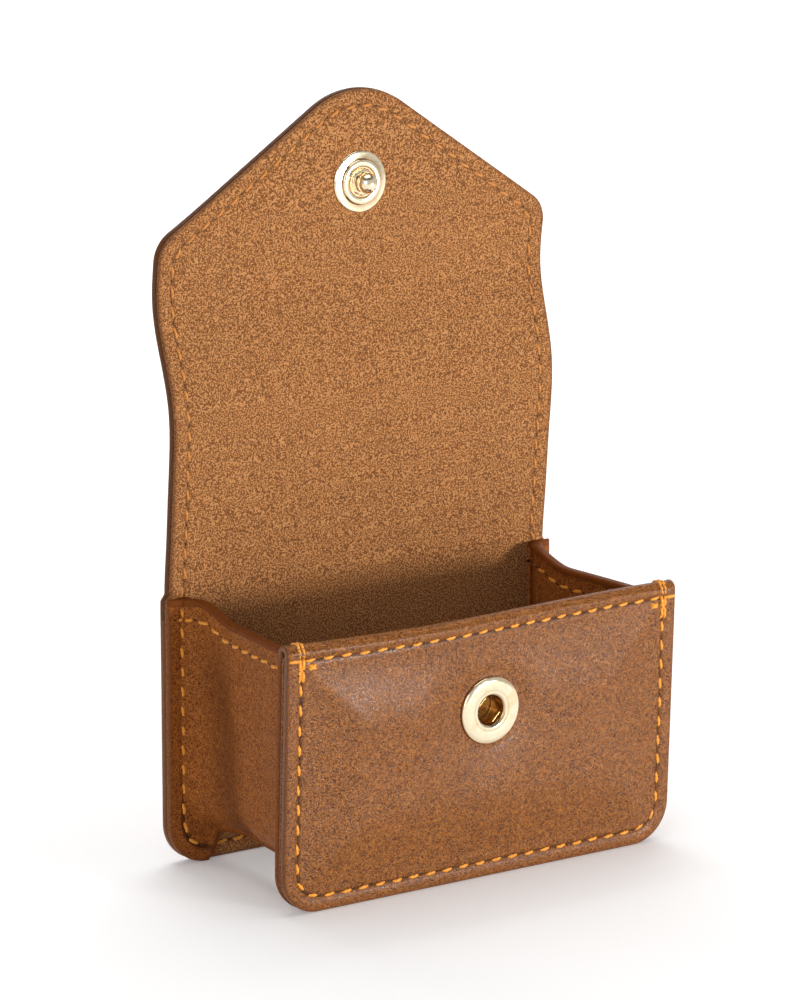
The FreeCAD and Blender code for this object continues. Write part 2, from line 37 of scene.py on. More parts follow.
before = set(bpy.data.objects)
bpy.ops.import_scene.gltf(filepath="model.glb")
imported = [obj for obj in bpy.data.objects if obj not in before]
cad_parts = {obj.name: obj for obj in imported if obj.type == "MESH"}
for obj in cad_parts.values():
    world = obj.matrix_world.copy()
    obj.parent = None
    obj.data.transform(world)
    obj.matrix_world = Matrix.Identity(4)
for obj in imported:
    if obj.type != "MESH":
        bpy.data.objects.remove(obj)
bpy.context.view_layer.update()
MM = 0.001
SHARP_ANGLE = math.radians(50)
EDGE_POWER = 3.5

# ---------------------------------------------------------------- sizes shared with the CAD

PANEL_HALF = 33.75
PANEL_TOP = 39.3
PANEL_CORNER = 6.0
TOP_CORNER = 0.9
LEATHER = 1.2
LINING = 0.6
GUSSET = 0.8
BACK_LINING_Y = 15.0
BACK_TOP = 39.6
FRONT_FACE_Y = -15.0
SNAP_RISE = 1.0
SNAP_HOLE = 3.6
FRONT_LEAN = math.radians(2.3)
SOCKET_Z = 25.4
SNAP_Z = 96.7
MARGIN = 2.2
FLAP_MARGIN = 2.4
PITCH = 2.9
FOLDS = [(15.0, 39.7), (13.55, 56.2), (12.95, 65.8), (16.6, 82.0)]
BODIES = ["pouch", "flap_rear", "flap_top", "flap_fore", "flap_front"]
SPLITS = [36.4, 48.0, 61.0, 74.0]
BOARD_RECESS = 0.62
CROWN = 1.6
CROWN_REACH = 13.5
SEAT_INNER, SEAT_OUTER = 4.6, 12.5
GUSSET_ROW_DROP = 3.0
NORMAL_STEP = 0.05
STITCH_GAP = 0.5
STITCH_SLANT = 0.1
STITCH_LIFT = 0.1
TACK_LIFT = 0.16
TURNED_SEGMENTS = 128
FLOOR_FLAT = 1800.0
FLOOR_CURVE = 900.0
FLOOR_TOP = 2200.0
FLOOR_GLOW = 0.16
WORLD_STRENGTH = 0.2
AZIMUTH = math.radians(34.811)
ELEVATION = math.radians(12.735)
DISTANCE = 654.743
LENS = 164.57
AIM = (0, -0.3, 50)
AIM_LEFT = 3.117
AIM_UP = 2.589


# ---------------------------------------------------------------- small maths

def ease(low, high, value):
    """Smooth step from 0 at low to 1 at high."""
    t = np.clip((np.asarray(value, float) - low) / (high - low), 0, 1)
    return t * t * (3 - 2 * t)


def bell(value, centre, width):
    return np.exp(-(((np.asarray(value, float) - centre) / width) ** 2))


def spline(knots):
    """A natural cubic curve through (x, y) knots, as a function of x."""
    xs, ys = np.array(knots, float).T
    count = len(xs)
    gap = np.diff(xs)
    system = np.eye(count)
    right = np.zeros(count)
    for i in range(1, count - 1):
        system[i, i - 1:i + 2] = gap[i - 1], 2 * (gap[i - 1] + gap[i]), gap[i]
        right[i] = 3 * ((ys[i + 1] - ys[i]) / gap[i] - (ys[i] - ys[i - 1]) / gap[i - 1])
    c = np.linalg.solve(system, right)
    b = (ys[1:] - ys[:-1]) / gap - gap * (2 * c[:-1] + c[1:]) / 3
    d = (c[1:] - c[:-1]) / (3 * gap)

    def value(x):
        x = np.clip(np.asarray(x, float), xs[0], xs[-1])
        i = np.clip(np.searchsorted(xs, x) - 1, 0, count - 2)
        t = x - xs[i]
        return ys[i] + b[i] * t + c[i] * t ** 2 + d[i] * t ** 3

    return value


def unit(vectors):
    return vectors / np.maximum(np.linalg.norm(vectors, axis=-1, keepdims=True), 1e-12)


def wobble(x, z, seed=0.0):
    """Gentle unevenness of hand-worked leather, between about -1 and 1."""
    total = np.sin(0.31 * x + 0.17 * z + 1.3 + seed) + np.sin(-0.19 * x + 0.37 * z + 0.4 + 2 * seed)
    total = total + 0.6 * np.sin(0.61 * x - 0.43 * z + 2.1 + seed)
    total = total + 0.4 * np.sin(0.9 * x + 1.05 * z + 3 * seed)
    return total / 3.0


def edge_spacing(length, coarse=0.6, near=True, far=True):
    """Positions from 0 to length that crowd together at the ends, where edges and stitch channels are."""
    steps = np.array([0, 0.015, 0.05, 0.12, 0.24, 0.4, 0.58, 0.8, 1.05, 1.3, 1.5, 1.7, 1.88, 2.04, 2.2, 2.36,
                      2.52, 2.7, 2.92, 3.2, 3.6])
    start = steps if near else np.array([0.0])
    end = length - steps[::-1] if far else np.array([length])
    room = end[0] - start[-1]
    middle = np.linspace(start[-1], end[0], max(2, int(room / coarse) + 2))[1:-1]
    return np.concatenate([start, middle, end])


# ---------------------------------------------------------------- mesh building

def grid_quads(shape, start, flip):
    index = start + np.arange(shape[0] * shape[1]).reshape(shape)
    quads = np.stack([index[:-1, :-1], index[1:, :-1], index[1:, 1:], index[:-1, 1:]], -1).reshape(-1, 4)
    return quads[:, ::-1] if flip else quads


def new_mesh(name, points, faces, material, marks=None, weld=True):
    """An object from points in millimetres. marks are named numbers, one a point, that materials read."""
    mesh = bpy.data.meshes.new(name)
    mesh.from_pydata((np.asarray(points) * MM).tolist(), [], [list(map(int, face)) for face in faces])
    for mark, values in (marks or {}).items():
        layer = mesh.attributes.new(mark, "FLOAT", "POINT")
        layer.data.foreach_set("value", np.asarray(values, np.float32).ravel())
    work = bmesh.new()
    work.from_mesh(mesh)
    if weld:
        bmesh.ops.remove_doubles(work, verts=work.verts, dist=2e-6)
        bmesh.ops.dissolve_degenerate(work, edges=work.edges, dist=1e-7)
    bmesh.ops.recalc_face_normals(work, faces=work.faces)
    for face in work.faces:
        face.smooth = True
    work.to_mesh(mesh)
    work.free()
    mesh.set_sharp_from_angle(angle=SHARP_ANGLE)
    mesh.materials.append(material)
    piece = bpy.data.objects.new(name, mesh)
    bpy.context.scene.collection.objects.link(piece)
    return piece


def hole_sides(drop, index, count):
    """Faces that line a hole: drop says which quads are missing from both grids."""
    faces = []
    for i, j in zip(*np.nonzero(drop)):
        corners = [index[i, j], index[i + 1, j], index[i + 1, j + 1], index[i, j + 1]]
        for k, neighbour in enumerate([(i, j - 1), (i + 1, j), (i, j + 1), (i - 1, j)]):
            if not drop[neighbour]:
                a, b = corners[k], corners[(k + 1) % 4]
                faces.append([a, b, b + count, a + count])
    return np.array(faces)


def slab(name, front, back, material, marks=None, drop=None):
    """A closed sheet between two grids of points, joined round their four sides and round a hole."""
    rows, columns = front.shape[:2]
    count = rows * columns
    index = np.arange(count).reshape(rows, columns)
    rim = np.concatenate([index[:-1, 0], index[-1, :-1], index[:0:-1, -1], index[0, :0:-1]])
    following = np.roll(rim, -1)
    sides = np.stack([rim, following, following + count, rim + count], -1)
    near = grid_quads((rows, columns), 0, False)
    far = grid_quads((rows, columns), count, True)
    if drop is not None:
        kept = ~drop.ravel()
        near, far = near[kept], far[kept]
        sides = np.concatenate([sides, hole_sides(drop, index, count)])
    faces = np.concatenate([near, far, sides])
    points = np.concatenate([front.reshape(-1, 3), back.reshape(-1, 3)])
    both = {mark: np.concatenate([np.ravel(a), np.ravel(b)]) for mark, (a, b) in (marks or {}).items()}
    return new_mesh(name, points, faces, material, both)


def grid_normals(middle):
    """Unit normals of a grid of points."""
    along_rows = np.gradient(middle, axis=0)
    along_columns = np.gradient(middle, axis=1)
    return unit(np.cross(along_rows, along_columns))


def rounded_half(distance, half):
    """Half-thickness of a sheet at a distance from its cut edge, which is square with rounded corners."""
    inside = np.clip(distance / half, 0, 1)
    return half * np.clip(1 - (1 - inside) ** EDGE_POWER, 0, 1) ** (1 / EDGE_POWER)


# ---------------------------------------------------------------- outlines

def round_corners(x, z, half, low, high, radius_low, radius_high):
    """Bends the square corners of a rectangular grid into quarter circles."""
    for side in (-1, 1):
        for edge, way, radius in ((low, -1, radius_low), (high, 1, radius_high)):
            centre_x = side * (half - radius)
            centre_z = edge - way * radius
            a = np.clip((x - centre_x) * side / radius, 0, None)
            b = np.clip((z - centre_z) * way / radius, 0, None)
            corner = (a > 0) & (b > 0)
            x = np.where(corner, centre_x + side * radius * a * np.sqrt(np.clip(1 - b * b / 2, 0, 1)), x)
            z = np.where(corner, centre_z + way * radius * b * np.sqrt(np.clip(1 - a * a / 2, 0, 1)), z)
    return x, z


def panel_inset(x, z, half, low, high, radius_low, radius_high):
    """Distance inwards from a rounded rectangle's outline."""
    side = half - np.abs(x)
    result = np.minimum(side, np.minimum(z - low, high - z))
    for radius, edge in ((radius_low, z - low), (radius_high, high - z)):
        corner = (side < radius) & (edge < radius)
        result = np.where(corner, radius - np.hypot(radius - side, radius - edge), result)
    return result


def panel_grid(half, low, high, radius_low, radius_high, coarse=0.6):
    xs = edge_spacing(2 * half, coarse) - half
    zs = low + edge_spacing(high - low, coarse)
    x, z = np.meshgrid(xs, zs, indexing="ij")
    return round_corners(x, z, half, low, high, radius_low, radius_high)


def snap_opening(x, z):
    """Which quads of a grid on the front panel lie inside the snap's hole."""
    inside = np.hypot(x, z - SOCKET_Z) < SNAP_HOLE
    return inside[:-1, :-1] & inside[1:, :-1] & inside[1:, 1:] & inside[:-1, 1:]


def rotate_front(vectors):
    """Leans vectors by the front panel's angle."""
    x, y, z = np.moveaxis(np.asarray(vectors, float), -1, 0)
    cos, sin = math.cos(FRONT_LEAN), math.sin(FRONT_LEAN)
    return np.stack([x, y * cos - z * sin, y * sin + z * cos], -1)


def front_place(points):
    """From the front panel's own frame (its Y = 0 is the leather's face) to the case's."""
    x, y, z = np.moveaxis(np.asarray(points, float), -1, 0)
    cos, sin = math.cos(FRONT_LEAN), math.sin(FRONT_LEAN)
    return np.stack([x, FRONT_FACE_Y + y * cos - z * sin, y * sin + z * cos], -1)


top_bow = spline([(-34, 0), (-27, 0.75), (-19, 1.45), (-11, 1.75), (-2, 1.45), (8, 0.75), (18, 0.15),
                  (26, -0.2), (34, 0)])


def front_bow(x, z):
    """How far the whole front panel bulges outwards, most along its top edge."""
    return top_bow(x) * np.clip(z / PANEL_TOP, 0, 1.05) ** 3


def front_height(x, z):
    """How far the front leather's face stands in front of its own flat plane."""
    inset = panel_inset(x, z, PANEL_HALF, 0, PANEL_TOP, PANEL_CORNER, TOP_CORNER)
    from_snap = np.hypot(x, z - SOCKET_Z)
    field = ease(MARGIN + 0.2, CROWN_REACH, inset)
    crown = field * (CROWN + 0.1 * wobble(x, z)) + front_bow(x, z)
    crown = SNAP_RISE + (crown - SNAP_RISE) * ease(SEAT_INNER, SEAT_OUTER, from_snap)
    channel = 0.26 * bell(inset, MARGIN, 0.42)
    welt = 0.1 * bell(inset, 1.15, 0.6)
    pull = 0.12 * bell(from_snap, 5.6, 0.7)
    return crown - channel + welt - pull


# ---------------------------------------------------------------- the flap and the back panel

profile = spline([(0, 15.0), (20, 15.0), (34, 15.0), (39.0, 14.97), (43, 14.72), (46, 14.4), (52, 13.88),
                  (58, 13.35), (62, 13.0), (65, 12.92), (68, 13.15), (71, 13.78), (75, 15.0), (79, 16.15),
                  (82, 16.55), (85, 16.42), (89, 15.85), (92, 15.5), (96.7, 15.36), (102, 15.33),
                  (111, 15.3)])
FLAP_LOW_HALF = 33.1
FLAP_HALF = 33.6
SHOULDER_R = 5.0
TIP_R = 13.5
APEX_Z = 112.9
SLOPE_RATIO = 0.67
SLOPE = math.atan(SLOPE_RATIO)
SHOULDER_Z = APEX_Z - SLOPE_RATIO * (FLAP_HALF - SHOULDER_R) - SHOULDER_R / math.cos(SLOPE)
TIP_CENTRE = APEX_Z - TIP_R / math.cos(SLOPE)


def flap_half(z):
    """Half-width of the back and flap: the panel's full width below, then a small step in to the flap."""
    flap = FLAP_LOW_HALF + (FLAP_HALF - FLAP_LOW_HALF) * ease(56, 88, z)
    return flap + (PANEL_HALF - flap) * (1 - ease(BACK_TOP - 0.7, BACK_TOP + 0.5, z))


def flap_top(x):
    """Height of the envelope outline over x."""
    x = np.abs(x)
    tip = TIP_CENTRE + np.sqrt(np.clip(TIP_R ** 2 - x ** 2, 0, None))
    line = APEX_Z - SLOPE_RATIO * x
    over = np.clip(x - (FLAP_HALF - SHOULDER_R), 0, SHOULDER_R)
    shoulder = SHOULDER_Z + np.sqrt(np.clip(SHOULDER_R ** 2 - over ** 2, 0, None))
    result = np.where(x < TIP_R * math.sin(SLOPE), tip, line)
    return np.where(x > FLAP_HALF - SHOULDER_R + SHOULDER_R * math.sin(SLOPE), shoulder, result)


def flap_inset(x, z):
    """Distance inwards from the outline of the back panel and flap."""
    x = np.abs(x)
    side = flap_half(z) - x
    slope = (APEX_Z - SLOPE_RATIO * x - z) * math.cos(SLOPE)
    result = np.minimum(side, slope)
    for centre_x, centre_z, radius, from_angle, to_angle in (
            (FLAP_HALF - SHOULDER_R, SHOULDER_Z, SHOULDER_R, 0, math.pi / 2 - SLOPE),
            (0, TIP_CENTRE, TIP_R, math.pi / 2 - SLOPE, math.pi)):
        angle = np.arctan2(z - centre_z, x - centre_x)
        sector = (angle > from_angle) & (angle < to_angle)
        result = np.where(sector, radius - np.hypot(x - centre_x, z - centre_z), result)
    low = (PANEL_HALF - x < PANEL_CORNER) & (z < PANEL_CORNER)
    result = np.where(low, PANEL_CORNER - np.hypot(PANEL_CORNER - (PANEL_HALF - x), PANEL_CORNER - z), result)
    return np.where((z < PANEL_CORNER) & ~low, np.minimum(result, z), result)


def back_point(x, z, depth):
    """The point depth behind the lining's face, measured square to it."""
    lean = (profile(z + NORMAL_STEP) - profile(z - NORMAL_STEP)) / (2 * NORMAL_STEP)
    length = np.sqrt(1 + lean ** 2)
    return np.stack([x + 0 * z, profile(z) + depth / length, z - depth * lean / length], -1)


def lining_relief(x, z):
    """Raised (+) and sunken (-) detail of the suede's face."""
    inset = flap_inset(x, z)
    channel = 0.15 * bell(inset, FLAP_MARGIN, 0.42)
    crease = 0.26 * bell(z, 81.2 + 0.012 * x, 1.1) - 0.16 * bell(z, 83.4 + 0.01 * x, 1.1)
    crease = crease + 0.12 * bell(z, 78.4 - 0.01 * x, 1.0)
    return -channel - crease * ease(3, 6, inset) + 0.05 * wobble(x, z, 1.0) * ease(2.6, 6, inset)


def leather_relief(x, z):
    inset = flap_inset(x, z)
    channel = 0.24 * bell(inset, FLAP_MARGIN, 0.42)
    return -channel + 0.07 * wobble(x, z, 2.0) * ease(2.6, 6, inset)


def back_grid(index):
    """Grid of one piece: 0 is the back panel, 1 to 4 the flap's sections from the fold up."""
    whole = edge_spacing(2.0 * FLAP_HALF) - FLAP_HALF
    if index == 4:
        share = edge_spacing(44.0, near=False) / 44.0
        u = whole / FLAP_HALF
        top = flap_top(u * FLAP_HALF)
        z = SPLITS[3] + (top[:, None] - SPLITS[3]) * share[None, :]
        x = u[:, None] * flap_half(z)
        return x, z
    if index == 0:
        zs = edge_spacing(SPLITS[0], far=False)
    else:
        low, high = SPLITS[index - 1], SPLITS[index]
        zs = np.linspace(low, high, int((high - low) / 0.5) + 1)
        if index == 1:
            zs = np.unique(np.concatenate([zs, np.linspace(38.4, 40.6, 18)]))
    u, z = np.meshgrid(whole / FLAP_HALF, zs, indexing="ij")
    if index == 0:
        return round_corners(u * PANEL_HALF, z, PANEL_HALF, 0, 2 * SPLITS[0], PANEL_CORNER, 1.0)
    return u * flap_half(z), z


def layer(name, index, near, thick, pull_in, relief_front, relief_back, material, hollow=None):
    """One layer of the back and flap, from near to near + thick behind the lining's face."""
    x, z = back_grid(index)
    inset = flap_inset(x, z)
    if pull_in:
        grow = pull_in * (1 - ease(0, 3.5, inset))
        centre_z = np.where(z < 20, 20.0, np.where(z > 75, 92.0, z))
        upward = np.where(np.abs(x) > FLAP_HALF - 3.5, (z - centre_z) * 0.4, z - centre_z)
        away = unit(np.stack([x, upward], -1))
        x, z = x - away[..., 0] * grow, z - away[..., 1] * grow
    half = rounded_half(inset, thick / 2)
    middle = near + thick / 2
    front_depth = middle - half - (relief_front(x, z) if relief_front else 0) * ease(0, 0.5, inset)
    back_depth = middle + half + (relief_back(x, z) if relief_back else 0) * ease(0, 0.5, inset)
    if hollow:
        front_depth = front_depth + hollow(x, z)
    rim = 1 - ease(0.05, 0.75, inset)
    return slab(name, back_point(x, z, front_depth), back_point(x, z, back_depth), material,
                {"rim": (rim, rim), "inset": (inset, inset)})


# ---------------------------------------------------------------- materials

class Nodes:
    """A node material under construction."""

    def __init__(self, name):
        self.material = bpy.data.materials.new(name)
        self.material.use_nodes = True
        self.tree = self.material.node_tree
        self.tree.nodes.clear()
        self.shader = self.add("ShaderNodeBsdfPrincipled")
        output = self.add("ShaderNodeOutputMaterial")
        self.tree.links.new(self.shader.outputs[0], output.inputs[0])
        coordinates = self.add("ShaderNodeTexCoord")
        scaled = self.add("ShaderNodeVectorMath", operation="SCALE")
        self.tree.links.new(coordinates.outputs["Object"], scaled.inputs[0])
        scaled.inputs["Scale"].default_value = 1 / MM
        self.mm = scaled.outputs[0]

    def add(self, kind, **settings):
        node = self.tree.nodes.new(kind)
        for key, value in settings.items():
            setattr(node, key, value)
        return node

    def put(self, socket, value):
        if isinstance(value, bpy.types.NodeSocket):
            self.tree.links.new(value, socket)
        else:
            socket.default_value = value

    def noise(self, scale, detail=3.0, rough=0.55, warp=0.0, where=None):
        node = self.add("ShaderNodeTexNoise")
        self.put(node.inputs["Vector"], where or self.mm)
        node.inputs["Scale"].default_value = scale
        node.inputs["Detail"].default_value = detail
        node.inputs["Roughness"].default_value = rough
        node.inputs["Distortion"].default_value = warp
        return node.outputs["Fac"]

    def bent(self, scale, amount):
        """Coordinates pushed about by noise, so that cells lose their straight sides."""
        node = self.add("ShaderNodeTexNoise")
        self.put(node.inputs["Vector"], self.mm)
        node.inputs["Scale"].default_value = scale
        node.inputs["Detail"].default_value = 2.0
        shift = self.add("ShaderNodeVectorMath", operation="MULTIPLY_ADD")
        self.put(shift.inputs[0], node.outputs["Color"])
        shift.inputs[1].default_value = (amount, amount, amount)
        self.put(shift.inputs[2], self.mm)
        return shift.outputs[0]

    def cracks(self, scale, where):
        """0 in the creases between grain cells, rising over each cell."""
        node = self.add("ShaderNodeTexVoronoi", feature="DISTANCE_TO_EDGE")
        self.put(node.inputs["Vector"], where)
        node.inputs["Scale"].default_value = scale
        return node.outputs["Distance"]

    def veins(self, scale, warp, width):
        """Thin meandering lines, 1 on the line."""
        from_middle = self.maths("ABSOLUTE", self.maths("SUBTRACT", self.noise(scale, 2.0, 0.5, warp), 0.5))
        return self.spread(from_middle, 0.0, width, 1.0, 0.0)

    def splits(self):
        """Fine upright cracks in the finish, in one place below the hem where the leather bends most."""
        stretched = self.add("ShaderNodeVectorMath", operation="MULTIPLY")
        self.put(stretched.inputs[0], self.bent(0.5, 1.6))
        stretched.inputs[1].default_value = (1.0, 0.2, 0.3)
        lines = self.spread(self.cracks(0.75, stretched.outputs[0]), 0.0, 0.045, 1.0, 0.0)
        parts = self.add("ShaderNodeSeparateXYZ")
        self.put(parts.inputs[0], self.mm)
        across = self.maths("ABSOLUTE", self.maths("ADD", parts.outputs["X"], 9.0))
        up = self.maths("ABSOLUTE", self.maths("SUBTRACT", parts.outputs["Z"], 34.6))
        near = self.maths("MULTIPLY", self.spread(across, 3.0, 9.0, 1.0, 0.0),
                          self.spread(up, 1.2, 3.4, 1.0, 0.0))
        return self.maths("MULTIPLY", lines, near)

    def mark(self, name):
        return self.add("ShaderNodeAttribute", attribute_name=name).outputs["Fac"]

    def maths(self, operation, a, b=0.0):
        node = self.add("ShaderNodeMath", operation=operation)
        self.put(node.inputs[0], a)
        self.put(node.inputs[1], b)
        return node.outputs[0]

    def spread(self, value, low, high, to_low=0.0, to_high=1.0):
        node = self.add("ShaderNodeMapRange", interpolation_type="SMOOTHSTEP")
        self.put(node.inputs["Value"], value)
        for socket, number in zip(("From Min", "From Max", "To Min", "To Max"), (low, high, to_low, to_high)):
            node.inputs[socket].default_value = number
        return node.outputs["Result"]

    def mix(self, share, a, b):
        node = self.add("ShaderNodeMix", data_type="RGBA", blend_type="MIX")
        self.put(node.inputs["Factor"], share)
        self.put(node.inputs["A"], a if isinstance(a, bpy.types.NodeSocket) else (*a, 1.0))
        self.put(node.inputs["B"], b if isinstance(b, bpy.types.NodeSocket) else (*b, 1.0))
        return node.outputs["Result"]

    def bump(self, height, distance, strength=1.0, after=None):
        node = self.add("ShaderNodeBump")
        self.put(node.inputs["Height"], height)
        node.inputs["Strength"].default_value = strength
        node.inputs["Distance"].default_value = distance * MM
        if after:
            self.put(node.inputs["Normal"], after)
        return node.outputs["Normal"]

    def finish(self, colour, roughness, normal, **fixed):
        self.put(self.shader.inputs["Base Color"], colour)
        self.put(self.shader.inputs["Roughness"], roughness)
        if normal:
            self.put(self.shader.inputs["Normal"], normal)
        for key, value in fixed.items():
            self.shader.inputs[key.replace("_", " ")].default_value = value
        return self.material


def make_leather(name, base, dark, light, rim_colour, gloss, shine, cracked=False):
    """Waxed leather: fine meandering pale creases and soft dark pits, cloudy colour and painted edges, with
    painted shade along the stitch channel and in the gusset's valley.
    """
    m = Nodes(name)
    cloud = m.noise(0.085, 3.0, 0.6, 0.4)
    cloud_small = m.noise(0.4, 4.0, 0.62)
    lines = m.maths("MAXIMUM", m.veins(2.3, 0.6, 0.07), m.maths("MULTIPLY", m.veins(3.1, 0.4, 0.07), 0.8))
    lines = m.maths("MULTIPLY", lines, m.spread(m.noise(1.2, 2.0), 0.34, 0.62, 0.75, 1.0))
    pits = m.spread(m.noise(4.2, 0.0, 0.5, 0.4), 0.36, 0.52, 0.85, 0.0)
    colour = m.mix(m.spread(cloud, 0.34, 0.68), tuple(0.84 * c for c in base), base)
    colour = m.mix(pits, colour, dark)
    colour = m.mix(m.maths("MULTIPLY", lines, 0.85), colour, light)
    height = m.maths("SUBTRACT", m.maths("MULTIPLY", lines, 0.5), m.maths("MULTIPLY", pits, 0.5))
    if cracked:
        split = m.splits()
        colour = m.mix(m.maths("MULTIPLY", split, 0.55), colour, dark)
        height = m.maths("SUBTRACT", height, m.maths("MULTIPLY", split, 0.9))
    from_row = m.maths("ABSOLUTE", m.maths("SUBTRACT", m.mark("inset"), MARGIN + 0.1))
    # Painted shade: the colour is darkened along the stitch channel, in the groove the thread lies in.
    colour = m.mix(m.spread(from_row, 0.2, 0.6, 0.75, 0.0), colour, tuple(0.7 * c for c in dark))
    # Painted shade: the "fold" mark darkens the gusset's valley crease to a deep brown.
    colour = m.mix(m.maths("MULTIPLY", m.mark("fold"), 0.55), colour, tuple(0.42 * c for c in base))
    rim = m.mark("rim")
    colour = m.mix(m.maths("MULTIPLY", rim, 0.75), colour, rim_colour)
    lip = m.mark("lip")
    colour = m.mix(m.maths("MULTIPLY", lip, 0.85), colour, tuple(0.75 * c for c in base))
    smooth = m.maths("MAXIMUM", m.maths("MULTIPLY", rim, 0.5), m.maths("MULTIPLY", lip, 0.8))
    height = m.maths("MULTIPLY", height, m.maths("SUBTRACT", 1.0, smooth))
    normal = m.bump(height, 0.03, 1.0)
    normal = m.bump(m.noise(0.8, 3.0), 0.06, 0.6, normal)
    worn = m.maths("ADD", cloud_small, m.maths("MULTIPLY", pits, 0.3))
    roughness = m.spread(worn, 0.3, 1.0, gloss, gloss + 0.2)
    return m.finish(colour, roughness, normal, Specular_IOR_Level=shine)


def make_suede(name, base, dark, light, rim_colour):
    """Short brushed nap: fine mottle, a soft sheen and painted shade along the stitch channel."""
    m = Nodes(name)
    fine = m.noise(4.4, 0.0, 0.5, 0.2)
    fibre = m.noise(3.0, 2.0, 0.6)
    cloud = m.noise(0.06, 3.0, 0.6)
    colour = m.mix(m.spread(cloud, 0.3, 0.7), tuple(0.86 * c for c in base), base)
    colour = m.mix(m.spread(fine, 0.36, 0.5, 0.95, 0.0), colour, dark)
    colour = m.mix(m.spread(fine, 0.5, 0.64, 0.0, 0.95), colour, light)
    colour = m.mix(m.spread(fibre, 0.34, 0.48, 0.15, 0.0), colour, dark)
    from_row = m.maths("ABSOLUTE", m.maths("SUBTRACT", m.mark("inset"), FLAP_MARGIN))
    # Painted shade: the nap is darkened along the stitch channel.
    colour = m.mix(m.spread(from_row, 0.1, 0.5, 0.5, 0.0), colour, tuple(0.7 * c for c in dark))
    colour = m.mix(m.maths("MULTIPLY", m.mark("rim"), 0.55), colour, rim_colour)
    height = m.maths("ADD", fine, m.maths("MULTIPLY", fibre, 0.5))
    normal = m.bump(height, 0.11, 1.0)
    roughness = m.spread(fine, 0.3, 0.7, 0.82, 0.98)
    return m.finish(colour, roughness, normal, Specular_IOR_Level=0.2, Sheen_Weight=0.2, Sheen_Roughness=0.5,
                    Sheen_Tint=(0.95, 0.72, 0.5, 1.0))


def make_thread(name, base, dark):
    m = Nodes(name)
    fuzz = m.noise(7.0, 4.0, 0.7)
    tone = m.noise(0.35, 2.0)
    colour = m.mix(m.spread(fuzz, 0.3, 0.7), dark, base)
    colour = m.mix(m.maths("MULTIPLY", m.spread(tone, 0.35, 0.7), 0.3), colour, dark)
    roughness = m.spread(fuzz, 0.3, 0.7, 0.42, 0.62)
    return m.finish(colour, roughness, m.bump(fuzz, 0.03), Specular_IOR_Level=0.45, Sheen_Weight=0.15)


def make_brass(name, base, dark, hollow, rough):
    """Polished plating with faint tarnish, tool marks and scratches, and painted shade where the hollow mark
    is set.
    """
    m = Nodes(name)
    tarnish = m.noise(0.7, 4.0, 0.6)
    stretched = m.add("ShaderNodeVectorMath", operation="MULTIPLY")
    m.put(stretched.inputs[0], m.mm)
    stretched.inputs[1].default_value = (0.5, 3.0, 9.0)
    scratch = m.noise(1.0, 3.0, 0.6, 0.0, stretched.outputs[0])
    colour = m.mix(m.spread(tarnish, 0.45, 0.75), base, dark)
    # Painted shade: the "hollow" mark mixes in the dark colour in the hole, grooves and collars.
    colour = m.mix(m.mark("hollow"), colour, hollow)
    roughness = m.spread(scratch, 0.3, 0.75, rough, rough + 0.12)
    normal = m.bump(scratch, 0.004, 0.5)
    return m.finish(colour, roughness, normal, Metallic=1.0)


def make_plain(name, base, dark, scale, rough, bump):
    """A matt material with mottled colour, for hidden board and foam and for the painted shade in the holes
    round the stitches.
    """
    m = Nodes(name)
    speckle = m.noise(scale, 4.0, 0.7)
    colour = m.mix(m.spread(speckle, 0.35, 0.65), dark, base)
    roughness = m.spread(speckle, 0.3, 0.7, rough - 0.1, rough)
    return m.finish(colour, roughness, m.bump(speckle, bump), Specular_IOR_Level=0.2)


HIDE = ((0.104, 0.026, 0.0032), (0.028, 0.006, 0.001), (0.395, 0.145, 0.026))
leather = make_leather("leather", *HIDE, (0.15, 0.044, 0.011), 0.34, 0.2)
front_hide = make_leather("leather_front", *HIDE, (0.14, 0.040, 0.007), 0.23, 0.26, cracked=True)
flap_hide = make_leather("leather_flap", *HIDE, (0.085, 0.027, 0.008), 0.4, 0.12)
gusset_leather = make_leather("gusset_leather", (0.18, 0.044, 0.006), (0.050, 0.010, 0.002),
                              (0.50, 0.175, 0.038), (0.15, 0.044, 0.011), 0.45, 0.08)
suede = make_suede("suede_lining", (0.280, 0.107, 0.028), (0.132, 0.043, 0.010), (0.46, 0.213, 0.077),
                   (0.115, 0.038, 0.012))
pouch_suede = make_suede("suede_lining_pouch", (0.27, 0.095, 0.027), (0.13, 0.040, 0.011), (0.50, 0.24, 0.09),
                         (0.09, 0.028, 0.01))
thread = make_thread("thread", (0.92, 0.39, 0.018), (0.55, 0.17, 0.006))
flap_thread_gold = make_thread("thread_flap", (0.66, 0.26, 0.030), (0.36, 0.11, 0.010))
hole_shade = make_plain("thread_hole_shade", (0.045, 0.014, 0.006), (0.02, 0.007, 0.003), 3.0, 0.95, 0.02)
# Each brass's third colour is the painted shade laid in by the hollow mark.
brass = make_brass("gold_brass", (0.96, 0.83, 0.60), (0.86, 0.68, 0.40), (0.40, 0.20, 0.06), 0.08)
# A darker copy of the brass: painted shade for the socket's post and spring, down inside the hole.
brass_shaded_inside = make_brass("gold_brass_inside", (0.62, 0.40, 0.16), (0.40, 0.22, 0.07),
                          (0.40, 0.20, 0.06), 0.12)
board = make_plain("board", (0.30, 0.24, 0.17), (0.20, 0.15, 0.10), 1.2, 0.95, 0.05)
foam = make_plain("foam", (0.42, 0.36, 0.24), (0.33, 0.27, 0.17), 2.5, 0.95, 0.12)


# ---------------------------------------------------------------- front panel

def bent_sheet(name, middle, normal, half, distance, material, inset, lift, drop):
    """A sheet of varying half-thickness about a curved middle grid."""
    thickness = rounded_half(distance, half)
    rim = 1 - ease(0.05, 0.75, distance)
    return slab(name, middle + normal * (thickness + lift)[..., None], middle - normal * thickness[..., None],
                material, {"rim": (rim, rim), "inset": (inset, inset)}, drop)


HEM_RADIUS = 0.8
HEM_Z = PANEL_TOP - 1.3
HEM_DEPTH = 2.7


